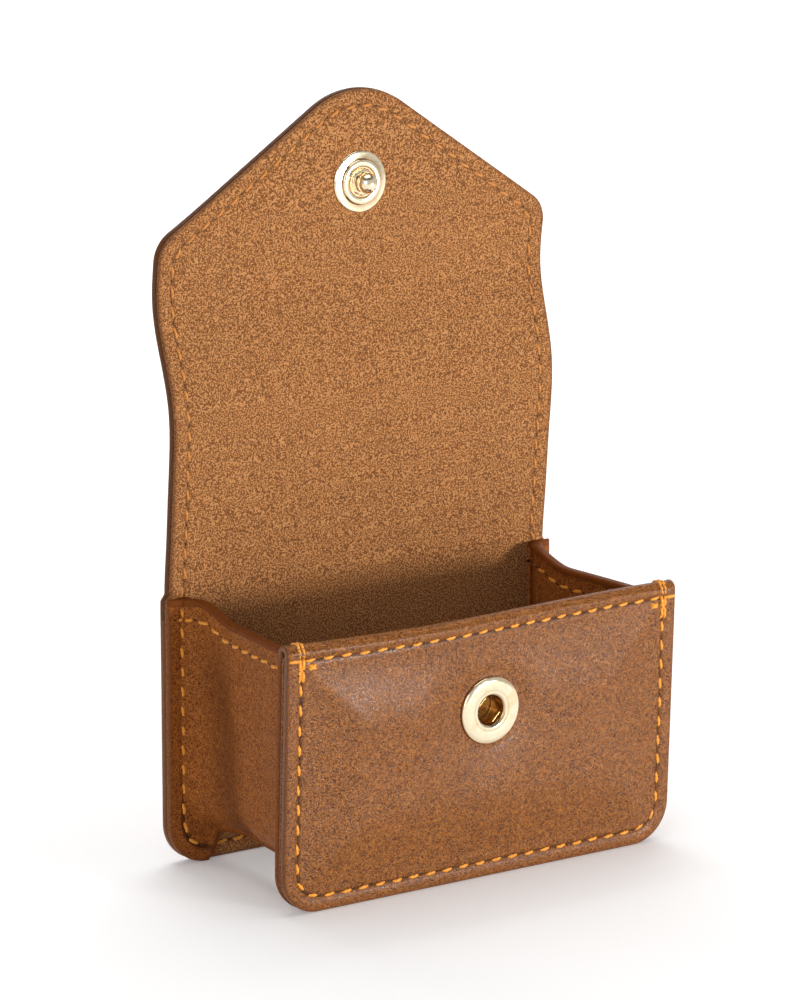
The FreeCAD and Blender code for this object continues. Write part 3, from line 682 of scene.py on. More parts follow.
def make_front_leather():
    """The sheet rises over the padding, rolls over the top edge and ends in a hem inside the pocket."""
    xs = edge_spacing(2 * PANEL_HALF, 0.5) - PANEL_HALF
    main = edge_spacing(HEM_Z, 0.5, far=False)
    main = np.unique(np.concatenate([main[main < HEM_Z - 3.2], np.linspace(HEM_Z - 3.2, HEM_Z, 24)]))
    turn = np.linspace(0, math.pi, 22)[1:]
    hem = np.concatenate([np.linspace(0, 2.3, 8)[1:], HEM_DEPTH - np.array([0.28, 0.18, 0.1, 0.04, 0.0])])
    x_main, z_main = np.meshgrid(xs, main, indexing="ij")
    x_main, z_main = round_corners(x_main, z_main, PANEL_HALF, 0, 2 * HEM_Z, PANEL_CORNER, 1.0)
    inset_main = panel_inset(x_main, z_main, PANEL_HALF, 0, 4 * PANEL_TOP, PANEL_CORNER, 1.0)
    x_over = np.repeat(xs[:, None], len(turn) + len(hem), axis=1)
    rise = front_height(x_main, z_main)
    top_rise = rise[:, -1:]
    mid_main = np.stack([x_main, LEATHER / 2 - rise, z_main], -1)
    mid_y = LEATHER / 2 + HEM_RADIUS * (1 - np.cos(turn))
    mid_z = HEM_Z + HEM_RADIUS * np.sin(turn)
    depth = HEM_DEPTH - 1.55 * ease(29.2, 30.6, np.abs(xs))
    hem_z = HEM_Z - hem[None, :] / HEM_DEPTH * depth[:, None]
    over_y = np.concatenate([np.repeat(mid_y[None], len(xs), 0), np.full((len(xs), len(hem)), mid_y[-1])], 1)
    over_z = np.concatenate([np.repeat(mid_z[None], len(xs), 0), hem_z], 1)
    mid_over = np.stack([x_over, over_y - top_rise, over_z], -1)
    middle = np.concatenate([mid_main, mid_over], 1)
    normal = -grid_normals(middle)
    if normal[len(xs) // 2, 10, 1] > 0:
        normal = -normal
    side = PANEL_HALF - np.abs(x_over)
    to_end = np.concatenate([np.full((len(xs), len(turn)), 9.0),
                             (hem[-1] - hem)[None, :] / HEM_DEPTH * depth[:, None]], 1)
    distance = np.concatenate([inset_main, np.minimum(side, to_end)], 1)
    taper = np.concatenate([np.zeros(z_main.shape[1]), ease(0, math.pi * 0.8, turn), np.ones(len(hem))])
    half = np.repeat((LEATHER / 2 - 0.2 * taper)[None, :], len(xs), 0)
    creases = -0.2 * bell(turn, 1.85, 0.2) - 0.17 * bell(turn, 0.62, 0.2)
    groove = np.concatenate([np.zeros(z_main.shape[1]), creases, np.zeros(len(hem))])
    groove = groove[None, :] * ease(0.3, 1.2, PANEL_HALF - np.abs(xs))[:, None]
    inset = panel_inset(x_main, z_main, PANEL_HALF, 0, PANEL_TOP, PANEL_CORNER, TOP_CORNER)
    inset = np.concatenate([inset, np.full(side.shape, 0.5)], 1)
    x_all = np.concatenate([x_main, x_over], 1)
    z_all = np.concatenate([z_main, np.full(x_over.shape, PANEL_TOP)], 1)
    return bent_sheet("front_leather_skin", front_place(middle), rotate_front(normal), half, distance,
                      front_hide, inset, groove, snap_opening(x_all, z_all))


def flat_sheet(name, x, z, inset, near, far, material):
    """A sheet in the front panel's frame between two depths."""
    near = near + 0 * x
    far = far + 0 * x
    middle = (near + far) / 2
    thickness = rounded_half(inset, (far - near) / 2)
    front = front_place(np.stack([x, middle - thickness, z], -1))
    back = front_place(np.stack([x, middle + thickness, z], -1))
    rim = 1 - ease(0.05, 0.6, inset)
    return slab(name, front, back, material, {"rim": (rim, rim), "inset": (inset, inset)}, snap_opening(x, z))


def make_front_lining():
    high = PANEL_TOP - 1.75
    x, z = panel_grid(PANEL_HALF - 0.15, 0.15, high, PANEL_CORNER - 0.15, 0.6)
    inset = panel_inset(x, z, PANEL_HALF - 0.15, 0.15, high, PANEL_CORNER - 0.15, 0.6)
    bow = front_bow(x, z)
    return flat_sheet("front_lining_skin", x, z, inset, LEATHER + 0.02 - bow, LEATHER + LINING - bow,
                      pouch_suede)


def make_front_padding():
    half = PANEL_HALF - 3.4
    low, high = 3.4, PANEL_TOP - 4.6
    x, z = panel_grid(half, low, high, 3.0, 3.0, 0.9)
    inset = panel_inset(x, z, half, low, high, 3.0, 3.0)
    bow = front_bow(x, z)
    face = LEATHER - front_height(x, z) + 0.03
    rear = LEATHER - bow - 0.02
    face = np.minimum(face, rear - 0.02)
    return flat_sheet("front_padding_skin", x, z, inset, face, rear, foam)


front_leather = make_front_leather()
front_lining = make_front_lining()
front_padding = make_front_padding()


# ---------------------------------------------------------------- back panel and flap

def board_recess(x, z):
    """The leather is skived thinner over the board."""
    inset = np.minimum(np.minimum(PANEL_HALF - np.abs(x), z), BACK_TOP - z)
    return BOARD_RECESS * ease(4.0, 4.5, inset)


back_leather = layer("back_leather_skin", 0, LINING, LEATHER, 0.0, None, leather_relief, leather,
                     board_recess)
back_lining = layer("back_lining_skin", 0, 0.0, LINING, 0.12, lining_relief, None, suede)
flap_leather = []
flap_lining = []
for section in range(1, 5):
    body = BODIES[section]
    recess = board_recess if section == 1 else None
    flap_leather.append(layer(f"{body}_leather_skin", section, LINING, LEATHER, 0.0, None, leather_relief,
                              flap_hide, recess))
    flap_lining.append(layer(f"{body}_lining_skin", section, 0.0, LINING, 0.12, lining_relief, None, suede))


# ---------------------------------------------------------------- gussets

BEND_CENTRE = (24.45, 11.7)
BEND_R = 6.9 - GUSSET / 2
FOOT_X = 27.3
END_ANGLE = math.asin(0.75 / 6.9)


def rim_height(behind):
    """Height of the gusset's rim at a distance in front of the back panel."""
    return 39.6 - 1.85 * ease(2.0, 11.0, behind) - 0.15 * ease(11, 30, behind)


def gusset_station(t):
    """Shares down the straight part and round the bend, the angle and the wall point at t (0 rim, 1 foot)."""
    t = np.asarray(t, float)
    straight = 0.72
    down = np.clip(t / straight, 0, 1)
    turn = np.clip((t - straight) / (1 - straight), 0, 1)
    angle = math.pi / 2 + (END_ANGLE - math.pi / 2) * turn
    wall_x = BEND_CENTRE[0] + BEND_R * np.sin(angle)
    wall_z = BEND_CENTRE[1] - BEND_R * np.cos(angle)
    return down, turn, angle, wall_x, wall_z


def flange_edge(turn):
    """Point on the panel's outline opposite the wall's bend, and the z it starts from."""
    arc_length = PANEL_CORNER * math.pi / 2
    straight_down = BEND_CENTRE[1] - PANEL_CORNER
    foot_run = PANEL_HALF - PANEL_CORNER - FOOT_X
    total = straight_down + arc_length + foot_run
    s = turn * total
    on_side = s < straight_down
    on_foot = s > straight_down + arc_length
    angle = np.clip((s - straight_down) / PANEL_CORNER, 0, math.pi / 2)
    x = PANEL_HALF - PANEL_CORNER + PANEL_CORNER * np.cos(angle)
    z = PANEL_CORNER - PANEL_CORNER * np.sin(angle)
    x = np.where(on_foot, PANEL_HALF - PANEL_CORNER - (s - straight_down - arc_length), x)
    z = np.where(on_side, BEND_CENTRE[1] - s, z)
    return x, z


def gusset_section(side, t):
    """Rows of points across the gusset (back flange, wall, front flange) for each station t."""
    down, turn, angle, wall_x, wall_z = gusset_station(t)
    edge_x, edge_z = flange_edge(turn)
    back_y = BACK_LINING_Y - GUSSET / 2
    radius = 1.05
    flange_u = edge_spacing(2.8 - radius, 0.4, far=False)
    bend_u = np.linspace(0, math.pi / 2, 9)
    wall_u = np.linspace(0, 1, 46)
    rows = []
    for i in range(len(t)):
        nx, nz = math.sin(angle[i]), -math.cos(angle[i])
        across = math.hypot(edge_x[i] - wall_x[i], edge_z[i] - wall_z[i])
        fx, fz = (edge_x[i] - wall_x[i]) / across, (edge_z[i] - wall_z[i]) / across
        points = []

        def place(flange, depth, inward=0.0):
            z_here = wall_z[i]
            if turn[i] <= 0:
                behind = back_y - depth
                top = rim_height(behind)
                z_here = top + (BEND_CENTRE[1] - top) * down[i]
            x = wall_x[i] + fx * flange - nx * inward
            z = z_here + fz * flange - nz * inward
            points.append((side * x, depth, z))

        level = wall_z[i] if turn[i] > 0 else rim_height(20.0) + (BEND_CENTRE[1] - rim_height(20.0)) * down[i]
        to_middle = (LEATHER + LINING + GUSSET / 2) * math.cos(FRONT_LEAN)
        front_y = FRONT_FACE_Y + to_middle - level * math.tan(FRONT_LEAN)
        shares = flange_u / flange_u[-1]
        for share in shares:
            place(across + (radius - across) * share, back_y)
        for bend in bend_u[1:]:
            place(radius * (1 - math.sin(bend)), back_y - radius * (1 - math.cos(bend)))
        start_y, stop_y = back_y - radius, front_y + radius
        for u in wall_u[1:-1]:
            depth = start_y + (stop_y - start_y) * u
            place(0.0, depth, wall_dip(u, t[i]))
        for bend in bend_u[:-1]:
            place(radius * (1 - math.cos(bend)), front_y + radius * (1 - math.sin(bend)))
        for share in shares[::-1]:
            place(across + (radius - across) * share, front_y)
        rows.append(points)
    return np.array(rows)


def valley_place(t):
    """Where the deepest line of the wall runs, from the back panel (0) to the front one (1)."""
    return 0.20 + 0.12 * ease(0.05, 0.9, t)


def wall_dip(u, t):
    """How far the wall bows inwards at u (0 back, 1 front) and t (0 rim, 1 foot)."""
    peak = valley_place(t)
    across = math.sin(math.pi * u ** (math.log(0.5) / math.log(peak)))
    bowl = (1.7 - 0.4 * ease(0.5, 1.0, t)) * across ** 1.2
    valley = 0.75 * math.exp(-((u - peak) / 0.11) ** 2) * ease(0.04, 0.4, t) * (1 - 0.6 * ease(0.85, 1.0, t))
    second = 0.16 * math.exp(-((u - 0.70) / 0.09) ** 2) * ease(0.1, 0.4, t) * (1 - ease(0.75, 1.0, t))
    ripple = 0.13 * math.sin(21 * u + 6 * t) * math.exp(-((t - 0.86) / 0.1) ** 2)
    return float((bowl + valley + second + ripple) * (1 - 0.25 * ease(0.85, 1.0, t)))


def to_side_share(middle):
    """How far each point lies from the back panel (0) to the front one (1)."""
    depth = middle[..., 1]
    first, last = depth[:, :1], depth[:, -1:]
    return (depth - first) / (last - first)


def make_gusset(side, name):
    t = np.unique(np.concatenate([edge_spacing(38.0, 0.55) / 38.0, np.linspace(0.7, 1.0, 34)]))
    middle = gusset_section(side, t)
    normal = grid_normals(middle)
    if (normal[len(t) // 2, middle.shape[1] // 2, 0] > 0) != (side > 0):
        normal = -normal
    steps = np.linalg.norm(np.diff(middle, axis=1), axis=-1)
    run = np.concatenate([np.zeros((len(t), 1)), np.cumsum(steps, 1)], 1)
    to_side = np.minimum(run, run[:, -1:] - run)
    steps = np.linalg.norm(np.diff(middle, axis=0), axis=-1)
    run = np.concatenate([np.zeros((1, middle.shape[1])), np.cumsum(steps, 0)], 0)
    to_foot = run[-1:, :] - run
    to_end = np.minimum(run, to_foot)
    lip = 1 - ease(0.8, 1.05, to_end)
    half = GUSSET / 2 + 0.4 * lip * ease(0, 1.2, to_side)
    distance = np.minimum(to_side, to_end)
    thickness = rounded_half(distance, half)
    rim = 1 - ease(0.05, 0.5, to_side)
    share = to_side_share(middle)
    # Painted shade: "fold" marks the wall's valley crease, where the outer face's colour is darkened.
    fold = np.exp(-((share - valley_place(t)[:, None]) / 0.13) ** 2) * ease(0.04, 0.3, t)[:, None]
    fold = fold * (1 - 0.8 * lip)
    flare = 0.4 * (1 - ease(0.9, 1.3, to_foot)) * ease(0.3, 1.5, to_side)
    outer = middle + normal * (thickness + flare)[..., None]
    piece = slab(name, outer, middle - normal * thickness[..., None], gusset_leather,
                 {"rim": (rim, rim), "inset": (to_side, to_side), "lip": (lip, lip),
                  "fold": (fold, 0 * fold)})
    return piece, (middle, normal, thickness, run)


left_gusset, left_wall = make_gusset(-1, "left_gusset_skin")
right_gusset, right_wall = make_gusset(1, "right_gusset_skin")


# ---------------------------------------------------------------- stitching

def resample(points, spacing):
    """Evenly spaced points along a polyline, about spacing apart, with a whole number of steps."""
    points = np.asarray(points, float)
    steps = np.linalg.norm(np.diff(points, axis=0), axis=1)
    run = np.concatenate([[0], np.cumsum(steps)])
    count = max(1, int(round(run[-1] / spacing)))
    wanted = np.linspace(0, run[-1], count + 1)
    return np.stack([np.interp(wanted, run, points[:, k]) for k in range(points.shape[1])], -1)


def one_stitch(start, stop, up_start, up_stop, width, lift, seed):
    """A short length of twisted thread that comes out of one hole and goes down into the next."""
    rings, sides = 15, 12
    s = np.linspace(0, 1, rings)
    arch = np.sin(math.pi * np.clip(s * 1.12 - 0.06, 0, 1)) ** 0.45
    up = unit(up_start[None] * (1 - s)[:, None] + up_stop[None] * s[:, None])
    path = start[None] + (stop - start)[None] * s[:, None]
    path = path + up * (arch * (lift + 0.3) - 0.3)[:, None]
    along = unit(np.gradient(path, axis=0))
    across = unit(np.cross(along, up))
    over = np.cross(across, along)
    swell = width / 2 * (0.72 + 0.28 * np.sin(math.pi * s) ** 0.5)
    angle = np.linspace(0, 2 * math.pi, sides, endpoint=False)
    twist = 5.2 * s[:, None] + seed
    lobes = 1 + 0.13 * np.cos(3 * (angle[None, :] - twist))
    radius = swell[:, None] * lobes
    offset = (across[:, None, :] * np.cos(angle)[None, :, None] * radius[..., None]
              + over[:, None, :] * np.sin(angle)[None, :, None] * radius[..., None] * 0.82)
    return path[:, None, :] + offset


def stitch_faces(rings, sides, base):
    faces = []
    for r in range(rings - 1):
        for k in range(sides):
            n = (k + 1) % sides
            faces.append((base + r * sides + k, base + r * sides + n, base + (r + 1) * sides + n,
                          base + (r + 1) * sides + k))
    faces.append(tuple(base + k for k in range(sides))[::-1])
    faces.append(tuple(base + (rings - 1) * sides + k for k in range(sides)))
    return faces


def hole_disc(centre, along, up, length, width, base):
    """A small dark, slightly domed oval where the thread goes through the leather: painted shade of the
    needle hole.
    """
    across = np.cross(up, along)
    around = np.linspace(0, 2 * math.pi, 12, endpoint=False)
    rim = [centre + along * math.cos(a) * length / 2 + across * math.sin(a) * width / 2 - up * 0.04
           for a in around]
    points = rim + [centre + up * 0.035, centre - up * 0.12]
    faces = []
    for k in range(12):
        n = (k + 1) % 12
        faces.append((base + k, base + n, base + 12))
        faces.append((base + n, base + k, base + 13))
    return points, faces


def make_thread_piece(name, rows, width=0.5, tacks=(), gold=thread):
    """Thread along rows. Each row is a list of (point, outward normal) at the needle holes.

    tacks are extra stitches without holes, each (start, stop, normal at start, normal at stop, width).
    """
    points = []
    faces = []
    dark_points = []
    dark_faces = []
    number = 0
    for row in rows:
        spots = np.array([spot[0] for spot in row])
        ups = unit(np.array([spot[1] for spot in row]))
        for k in range(len(spots) - 1):
            a, b = spots[k], spots[k + 1]
            span = b - a
            length = np.linalg.norm(span)
            if length > 1.8 * PITCH or length < 0.3:
                continue
            along = span / length
            across = unit(np.cross(along, ups[k]))
            wander = 0.05 * math.sin(2.3 * number + 0.7)
            lean = across * (STITCH_SLANT * length * 0.5)
            start = a + along * STITCH_GAP + lean + across * wander
            stop = b - along * STITCH_GAP - lean + across * wander
            tube = one_stitch(start, stop, ups[k], ups[k + 1], width, STITCH_LIFT, 1.7 * number)
            faces += stitch_faces(tube.shape[0], tube.shape[1], len(points))
            points += list(tube.reshape(-1, 3))
            number += 1
        # Painted shade: a dark disc sits in each needle hole.
        for k in range(len(spots)):
            if k + 1 < len(spots):
                along = unit(spots[k + 1] - spots[k])
            along = unit(along - ups[k] * np.dot(along, ups[k]))
            disc, disc_faces = hole_disc(spots[k], along, ups[k], 2 * STITCH_GAP + 0.4, width,
                                         len(dark_points))
            dark_points += disc
            dark_faces += disc_faces
    for start, stop, up_start, up_stop, thick in tacks:
        tube = one_stitch(start, stop, up_start, up_stop, thick, TACK_LIFT, 1.7 * number)
        faces += stitch_faces(tube.shape[0], tube.shape[1], len(points))
        points += list(tube.reshape(-1, 3))
        number += 1
    base = len(points)
    all_faces = faces + [tuple(base + i for i in face) for face in dark_faces]
    piece = new_mesh(name, np.array(points + dark_points), all_faces, gold, weld=False)
    piece.data.materials.append(hole_shade)
    dark_from = len(faces)
    for polygon in piece.data.polygons:
        if polygon.index >= dark_from:
            polygon.material_index = 1
    return piece


def surface_row(flat, surface):
    """Places a flat row on a surface function that gives (point, normal) for x and z."""
    return [surface(x, z) for x, z in flat]


def front_surface(x, z):
    """The point and outward direction of the front leather's face."""
    def at(px, pz):
        return front_place([px, -float(front_height(px, pz)), pz])

    here = at(x, z)
    normal = unit(np.cross(at(x + NORMAL_STEP, z) - here, at(x, z + NORMAL_STEP) - here))
    return here, (normal if normal[1] <= 0 else -normal)


def rounded_path(half, low, high, radius, count=24):
    """Down the left side, round the bottom and up the right side, at x, z points."""
    angles = np.linspace(math.pi, 1.5 * math.pi, count)
    left = np.stack([-half + radius + radius * np.cos(angles), low + radius + radius * np.sin(angles)], -1)
    right = left[::-1] * np.array([-1, 1])
    return np.concatenate([[(-half, high)], left, right, [(half, high)]])


inner_half = PANEL_HALF - MARGIN
hem_row_z = PANEL_TOP - MARGIN
corner = PANEL_CORNER - MARGIN
seam_flat = resample(rounded_path(inner_half, MARGIN, hem_row_z, corner), PITCH)
hem_flat = resample([(-inner_half, hem_row_z), (inner_half, hem_row_z)], PITCH)


def roll_point(x, turn):
    """A point and its outward direction on the hem's roll, turn radians round from the panel's face."""
    rise = float(front_height(x, HEM_Z))
    reach = HEM_RADIUS + 0.46
    outward = np.array([0, -math.cos(turn), math.sin(turn)])
    here = np.array([x, LEATHER / 2 - rise + HEM_RADIUS, HEM_Z]) + reach * outward
    return front_place(here), rotate_front(outward)


def back_tacks(side):
    """The doubled thread at a top corner: down the seam, over the top edge, out to the side, and a knot."""
    tacks = []
    for shift in (-0.3, 0.3):
        x = side * inner_half + shift
        stops = [front_surface(x, z) for z in (33.9, 35.7, 37.4)]
        stops += [roll_point(x, turn) for turn in (0.75, 1.6, 2.6)]
        for (start, up_start), (stop, up_stop) in zip(stops, stops[1:]):
            tacks.append((start, stop, up_start, up_stop, 0.5))
    start, up_start = front_surface(side * (inner_half + 0.2), hem_row_z)
    stop, up_stop = front_surface(side * (PANEL_HALF - 0.15), hem_row_z + 0.1)
    tacks.append((start, stop, up_start, up_stop, 0.5))
    for lean in (-0.3, 0.3):
        start, up_start = front_surface(side * (inner_half - 2.2), hem_row_z - 1.0 + lean)
        stop, up_stop = front_surface(side * (inner_half - 1.1), hem_row_z - 1.0 - lean)
        tacks.append((start, stop, up_start, up_stop, 0.55))
    return tacks


front_seam = make_thread_piece("front_seam_thread_skin", [surface_row(seam_flat, front_surface)],
                               tacks=back_tacks(-1) + back_tacks(1))
front_hem = make_thread_piece("front_hem_thread_skin", [surface_row(hem_flat, front_surface)])


def back_surface(front):
    """A function that gives the point and outward direction of the suede's or the leather's face."""
    def surface(x, z):
        depth = -float(lining_relief(x, z)) if front else LEATHER + LINING + float(leather_relief(x, z))
        here, right, above = [back_point(np.array(px), np.array(pz), depth)
                              for px, pz in ((x, z), (x + NORMAL_STEP, z), (x, z + NORMAL_STEP))]
        normal = unit(np.cross(right - here, above - here))
        return here, (normal if (normal[1] < 0) == front else -normal)
    return surface


def flap_row_path():
    """The stitch line all round the back panel and flap, from bottom middle up one side to the tip."""
    half = PANEL_HALF - MARGIN
    points = []
    angles = np.linspace(-math.pi / 2, 0, 16)
    cx, cz, r = PANEL_HALF - PANEL_CORNER, PANEL_CORNER, PANEL_CORNER - MARGIN
    points += [(x, MARGIN) for x in np.linspace(0, cx, 12)]
    points += [(cx + r * math.cos(a), cz + r * math.sin(a)) for a in angles[1:]]
    for z in np.linspace(7, SHOULDER_Z, 80):
        margin = MARGIN + (FLAP_MARGIN - MARGIN) * float(ease(38, 41, z))
        points.append((float(flap_half(z)) - margin, z))
    r = SHOULDER_R - FLAP_MARGIN
    for a in np.linspace(0, math.pi / 2 - SLOPE, 10)[1:]:
        points.append((FLAP_HALF - SHOULDER_R + r * math.cos(a), SHOULDER_Z + r * math.sin(a)))
    r = TIP_R - FLAP_MARGIN
    for a in np.linspace(math.pi / 2 - SLOPE, math.pi / 2, 14):
        points.append((r * math.cos(a), TIP_CENTRE + r * math.sin(a)))
    return np.array(points)


right_half_row = resample(flap_row_path(), PITCH)
whole_row = np.concatenate([right_half_row, (right_half_row * np.array([-1, 1]))[::-1][1:]])


def rows_between(low, high, surface, keep=None):
    """The parts of the whole row whose stitches have their middles between two heights."""
    rows = []
    current = []
    for k in range(len(whole_row) - 1):
        middle = (whole_row[k] + whole_row[k + 1]) / 2
        wanted = low <= middle[1] < high and (keep is None or keep(*middle))
        if wanted:
            if not current:
                current = [surface(*whole_row[k])]
            current.append(surface(*whole_row[k + 1]))
        elif current:
            rows.append(current)
            current = []
    if current:
        rows.append(current)
    return rows


front_face = back_surface(True)
rear_face = back_surface(False)
back_rows = rows_between(-1, SPLITS[0], rear_face)
back_rows += rows_between(-1, 6, front_face, lambda x, z: abs(x) < 25.5)


def flange_face(x, z):
    return np.array([x, BACK_LINING_Y - GUSSET, z]), np.array([0.0, -1.0, 0.0])


back_rows += rows_between(-1, 38.6, flange_face, lambda x, z: abs(x) > 27.6)
back_seam = make_thread_piece("back_seam_thread_skin", back_rows)

flap_threads = []
for section in range(1, 5):
    low = SPLITS[section - 1]
    high = SPLITS[section] if section < 4 else 200
    lining_low = max(low, 40.2)
    rows = rows_between(lining_low, high, front_face) + rows_between(low, high, rear_face)
    flap_threads.append(make_thread_piece(f"{BODIES[section]}_thread_skin", rows, width=0.4,
                                          gold=flap_thread_gold))


def gusset_rows(wall):
    """The hem row below the rim, on the wall's outer face and then on its inner one."""
    middle, normal, half, run = wall
    rows = []
    for way in (1, -1):
        points = []
        for j in range(8, middle.shape[1] - 12):
            i = int(np.argmin(np.abs(run[:, j] - GUSSET_ROW_DROP)))
            outward = way * normal[i, j]
            points.append(np.concatenate([middle[i, j] + outward * half[i, j], outward]))
        rows.append([(p[:3], p[3:]) for p in resample(points, PITCH)])
    return rows


left_thread = make_thread_piece("left_gusset_thread_skin", gusset_rows(left_wall))
right_thread = make_thread_piece("right_gusset_thread_skin", gusset_rows(right_wall))


# ---------------------------------------------------------------- snap

def soften(outline, radius):
    """Rounds the corners of a (radius, height) outline. radius may be one number or one for each corner."""
    outline = [np.array(point, float) for point in outline]
    result = [outline[0]]
    for k in range(1, len(outline) - 1):
        r = radius[k] if isinstance(radius, (list, tuple)) else radius
        before = outline[k - 1] - outline[k]
        after = outline[k + 1] - outline[k]
        cut = min(r, 0.45 * np.linalg.norm(before), 0.45 * np.linalg.norm(after))
        a = outline[k] + unit(before) * cut
        b = outline[k] + unit(after) * cut
        for t in np.linspace(0, 1, 7):
            result.append((1 - t) ** 2 * a + 2 * t * (1 - t) * outline[k] + t ** 2 * b)
    result.append(outline[-1])
    return np.array(result)


def turned(name, outline, origin, tilt, material, hollow=None):
    """Turns an outline about the axis that points to the front, tilted downwards by tilt radians.

    hollow says how much painted shade darkens the metal over the outline's radius and height: in its hole,
    grooves and collars.
    """
    around = np.linspace(0, 2 * math.pi, TURNED_SEGMENTS, endpoint=False)
    r, h = outline[:, 0], outline[:, 1]
    local = np.stack([r[None, :] * np.cos(around)[:, None], r[None, :] * np.sin(around)[:, None],
                      np.repeat(h[None, :], TURNED_SEGMENTS, 0)], -1)
    spin = np.array(Matrix.Rotation(math.pi / 2 + tilt, 3, "X"))
    points = local.reshape(-1, 3) @ spin.T + np.array(origin)
    count = len(r)
    marks = {"hollow": np.tile(hollow(r, h), TURNED_SEGMENTS)} if hollow else None
    faces = []
    for a in range(TURNED_SEGMENTS):
        n = (a + 1) % TURNED_SEGMENTS
        for k in range(count - 1):
            faces.append((a * count + k, n * count + k, n * count + k + 1, a * count + k + 1))
    return new_mesh(name, points, faces, material, marks)


ring_origin = front_place(np.array([0, -SNAP_RISE, SOCKET_Z]))
ring_outline = soften([(2.15, -2.7), (2.53, -2.7), (2.53, 0.0), (4.75, -0.02), (5.0, 0.12), (4.86, 0.42),
                       (4.35, 0.62), (3.5, 0.66), (2.95, 0.6), (2.55, 0.62), (2.15, 0.3), (2.15, -2.7)],
                      [0, 0.05, 0.05, 0.1, 0.15, 0.25, 0.5, 0.4, 0.3, 0.2, 0.15, 0])
# The ring's hollow mark paints shade inside the hole, in the groove round it and under the outer edge.
ring = turned("snap_socket_ring_skin", ring_outline, ring_origin, FRONT_LEAN, brass,
              lambda r, h: (0.85 * (1 - ease(2.2, 2.5, r)) + 0.35 * bell(r, 2.95, 0.12)
                            + 0.5 * ease(4.85, 5.0, r)))

snap_step = 0.5
snap_lean = float(profile(SNAP_Z + snap_step) - profile(SNAP_Z - snap_step)) / (2 * snap_step)
stud_tilt = -math.atan(snap_lean)
stud_origin = np.array([0, float(profile(SNAP_Z)), SNAP_Z])
ball = [(1.55 * math.cos(a), 1.95 + 1.55 * math.sin(a)) for a in np.linspace(-0.72, math.pi / 2, 22)]
stud_outline = np.concatenate([
    soften([(0.0, -1.79), (1.18, -1.79), (1.18, -0.02), (4.5, -0.02), (4.5, 0.2), (4.3, 0.36), (3.35, 0.4),
            (3.25, 0.78), (2.9, 0.9), (2.35, 0.86), (2.25, 0.62), (1.95, 0.62), (1.85, 1.0), (1.6, 1.12),
            (1.15, 1.1)],
           [0, 0.02, 0.02, 0.05, 0.12, 0.2, 0.08, 0.15, 0.15, 0.1, 0.06, 0.06, 0.1, 0.1, 0]),
    np.array(ball)])
stud_outline[-1, 0] = 0.0
# The stud's hollow mark paints shade in the collars and round the post, and leaves the ball clear.
stud = turned("snap_stud_skin", stud_outline, stud_origin, stud_tilt, brass,
              lambda r, h: np.where(h > 1.3, 0.0, 0.75 * bell(r, 3.38, 0.1) + 0.8 * bell(r, 2.1, 0.22)
                                    + 0.85 * (1 - ease(1.2, 1.6, r))))
cap_outline = soften([(0.0, -1.8), (5.5, -1.8), (5.48, -1.98), (5.0, -2.3), (3.2, -2.6), (0.0, -2.7)],
                     [0, 0.05, 0.15, 0.5, 1.4, 0])
cap = turned("snap_stud_cap_skin", cap_outline, stud_origin, stud_tilt, brass)

# The post and spring inside the socket take the shaded brass copy, as painted shade in the hole.
for node in ("snap_socket_post", "snap_socket_spring"):
    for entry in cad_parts[node].material_slots:
        entry.material = brass_shaded_inside
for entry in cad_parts["back_board"].material_slots:
    entry.material = board


# ---------------------------------------------------------------- which body each piece rides on; the flap's own pieces are only baked in place

def settle(piece, body, slot, *stands_for):
    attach(piece, body)
    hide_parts(*stands_for)


settle(front_leather, "pouch", "leather", "front_leather")
settle(front_lining, "pouch", "suede_lining", "front_lining")
settle(front_padding, "pouch", "foam", "front_padding")
settle(back_leather, "pouch", "leather", "back_leather")
settle(back_lining, "pouch", "suede_lining", "back_lining")
settle(left_gusset, "pouch", "gusset_leather", "left_gusset")
settle(right_gusset, "pouch", "gusset_leather", "right_gusset")
settle(front_seam, "pouch", "thread", "front_seam_thread")
settle(front_hem, "pouch", "thread", "front_hem_thread")
settle(back_seam, "pouch", "thread", "back_seam_thread")
settle(left_thread, "pouch", "thread", "left_gusset_thread")
settle(right_thread, "pouch", "thread", "right_gusset_thread")
settle(ring, "pouch", "gold_brass", "snap_socket_ring")
settle(stud, "flap_front", "gold_brass", "snap_stud")
settle(cap, "flap_front", "gold_brass", "snap_stud_cap")

for section in range(1, 5):
    fold_y, fold_z = FOLDS[section - 1]
    body = BODIES[section]
    for piece, slot, part in ((flap_leather[section - 1], "leather", "leather"),
                              (flap_lining[section - 1], "suede_lining", "lining"),
                              (flap_threads[section - 1], "thread", "thread")):
        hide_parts(f"{body}_{part}")
        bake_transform(piece)


# ---------------------------------------------------------------- floor, light and camera

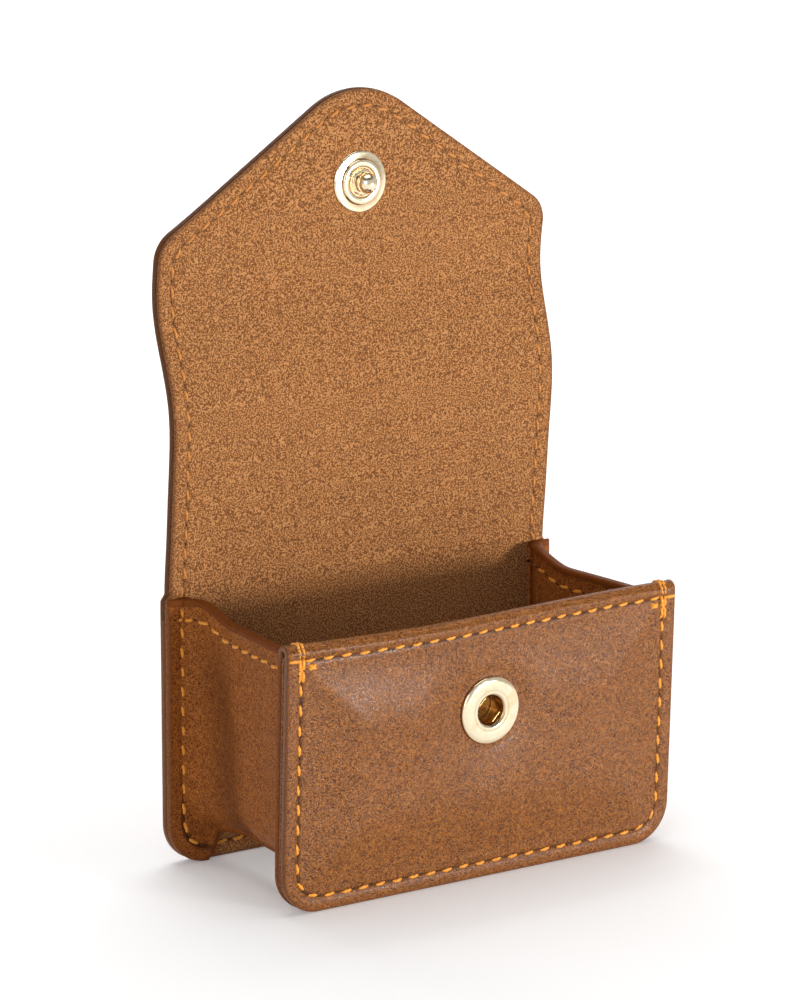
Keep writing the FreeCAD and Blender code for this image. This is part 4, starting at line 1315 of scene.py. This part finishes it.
def make_floor():
    """A pale round cove: flat under the case, curving up far away on every side."""
    m = Nodes("floor")
    cloud = m.noise(0.02, 2.0)
    colour = m.mix(m.spread(cloud, 0.3, 0.7), (0.92, 0.92, 0.92), (0.90, 0.90, 0.90))
    material = m.finish(colour, m.spread(cloud, 0.3, 0.7, 0.9, 0.95), None, Specular_IOR_Level=0.1,
                        Emission_Color=(1, 1, 1, 1), Emission_Strength=FLOOR_GLOW)
    outline = [(0.0, 0.0), (500, 0), (1000, 0), (FLOOR_FLAT, 0.0)]
    for a in np.linspace(0, math.pi / 2, 24)[1:]:
        outline.append((FLOOR_FLAT + FLOOR_CURVE * math.sin(a), FLOOR_CURVE - FLOOR_CURVE * math.cos(a)))
    outline.append((FLOOR_FLAT + FLOOR_CURVE, FLOOR_TOP))
    radius, height = np.array(outline).T
    around = np.linspace(0, 2 * math.pi, 97)
    r, a = np.meshgrid(radius, around, indexing="ij")
    points = np.stack([r * np.cos(a), r * np.sin(a), np.repeat(height[:, None] - 0.02, len(around), 1)], -1)
    floor = new_mesh("floor", points.reshape(-1, 3), grid_quads(r.shape, 0, False), material)
    if min(floor.data.polygons, key=lambda face: face.center.length).normal.z < 0:
        floor.data.flip_normals()


def area_light(name, place, target, size, power):
    data = bpy.data.lights.new(name, "AREA")
    data.shape = "RECTANGLE"
    data.size, data.size_y = size[0] * MM, size[1] * MM
    data.energy = power
    lamp = bpy.data.objects.new(name, data)
    lamp.location = Vector(place) * MM
    direction = (Vector(target) - Vector(place)) * MM
    lamp.rotation_euler = direction.to_track_quat("-Z", "Y").to_euler()
    lamp.visible_camera = False
    bpy.context.scene.collection.objects.link(lamp)


make_floor()
area_light("key", (235, -600, 42), (0, 0, 50), (150, 120), 4.2)
area_light("left", (-560, -420, 260), (0, 0, 45), (400, 400), 1.0)
area_light("top", (0, 40, 800), (0, 40, 0), (600, 600), 2.2)
area_light("behind", (450, 750, 700), (450, 750, 0), (1100, 1100), 7.5)

world = bpy.data.worlds.new("studio")
world.use_nodes = True
world.node_tree.nodes["Background"].inputs["Color"].default_value = (1, 1, 1, 1)
world.node_tree.nodes["Background"].inputs["Strength"].default_value = WORLD_STRENGTH
bpy.context.scene.world = world
bpy.context.scene.view_settings.view_transform = "Standard"

toward = Vector((-math.sin(AZIMUTH) * math.cos(ELEVATION), -math.cos(AZIMUTH) * math.cos(ELEVATION),
                 math.sin(ELEVATION)))
rightward = Vector((math.cos(AZIMUTH), -math.sin(AZIMUTH), 0))
upward = toward.cross(rightward)
aim = Vector(AIM) - AIM_LEFT * rightward + AIM_UP * upward
camera_data = bpy.data.cameras.new("camera")
camera_data.lens = LENS
camera_data.sensor_width = 36
camera_data.clip_start = 0.01
camera_data.clip_end = 20
camera = bpy.data.objects.new("camera", camera_data)
turn = Matrix((rightward, upward, toward)).transposed().to_4x4()
camera.matrix_world = Matrix.Translation((aim + DISTANCE * toward) * MM) @ turn
bpy.context.scene.collection.objects.link(camera)
bpy.context.scene.camera = camera

bpy.context.view_layer.update()
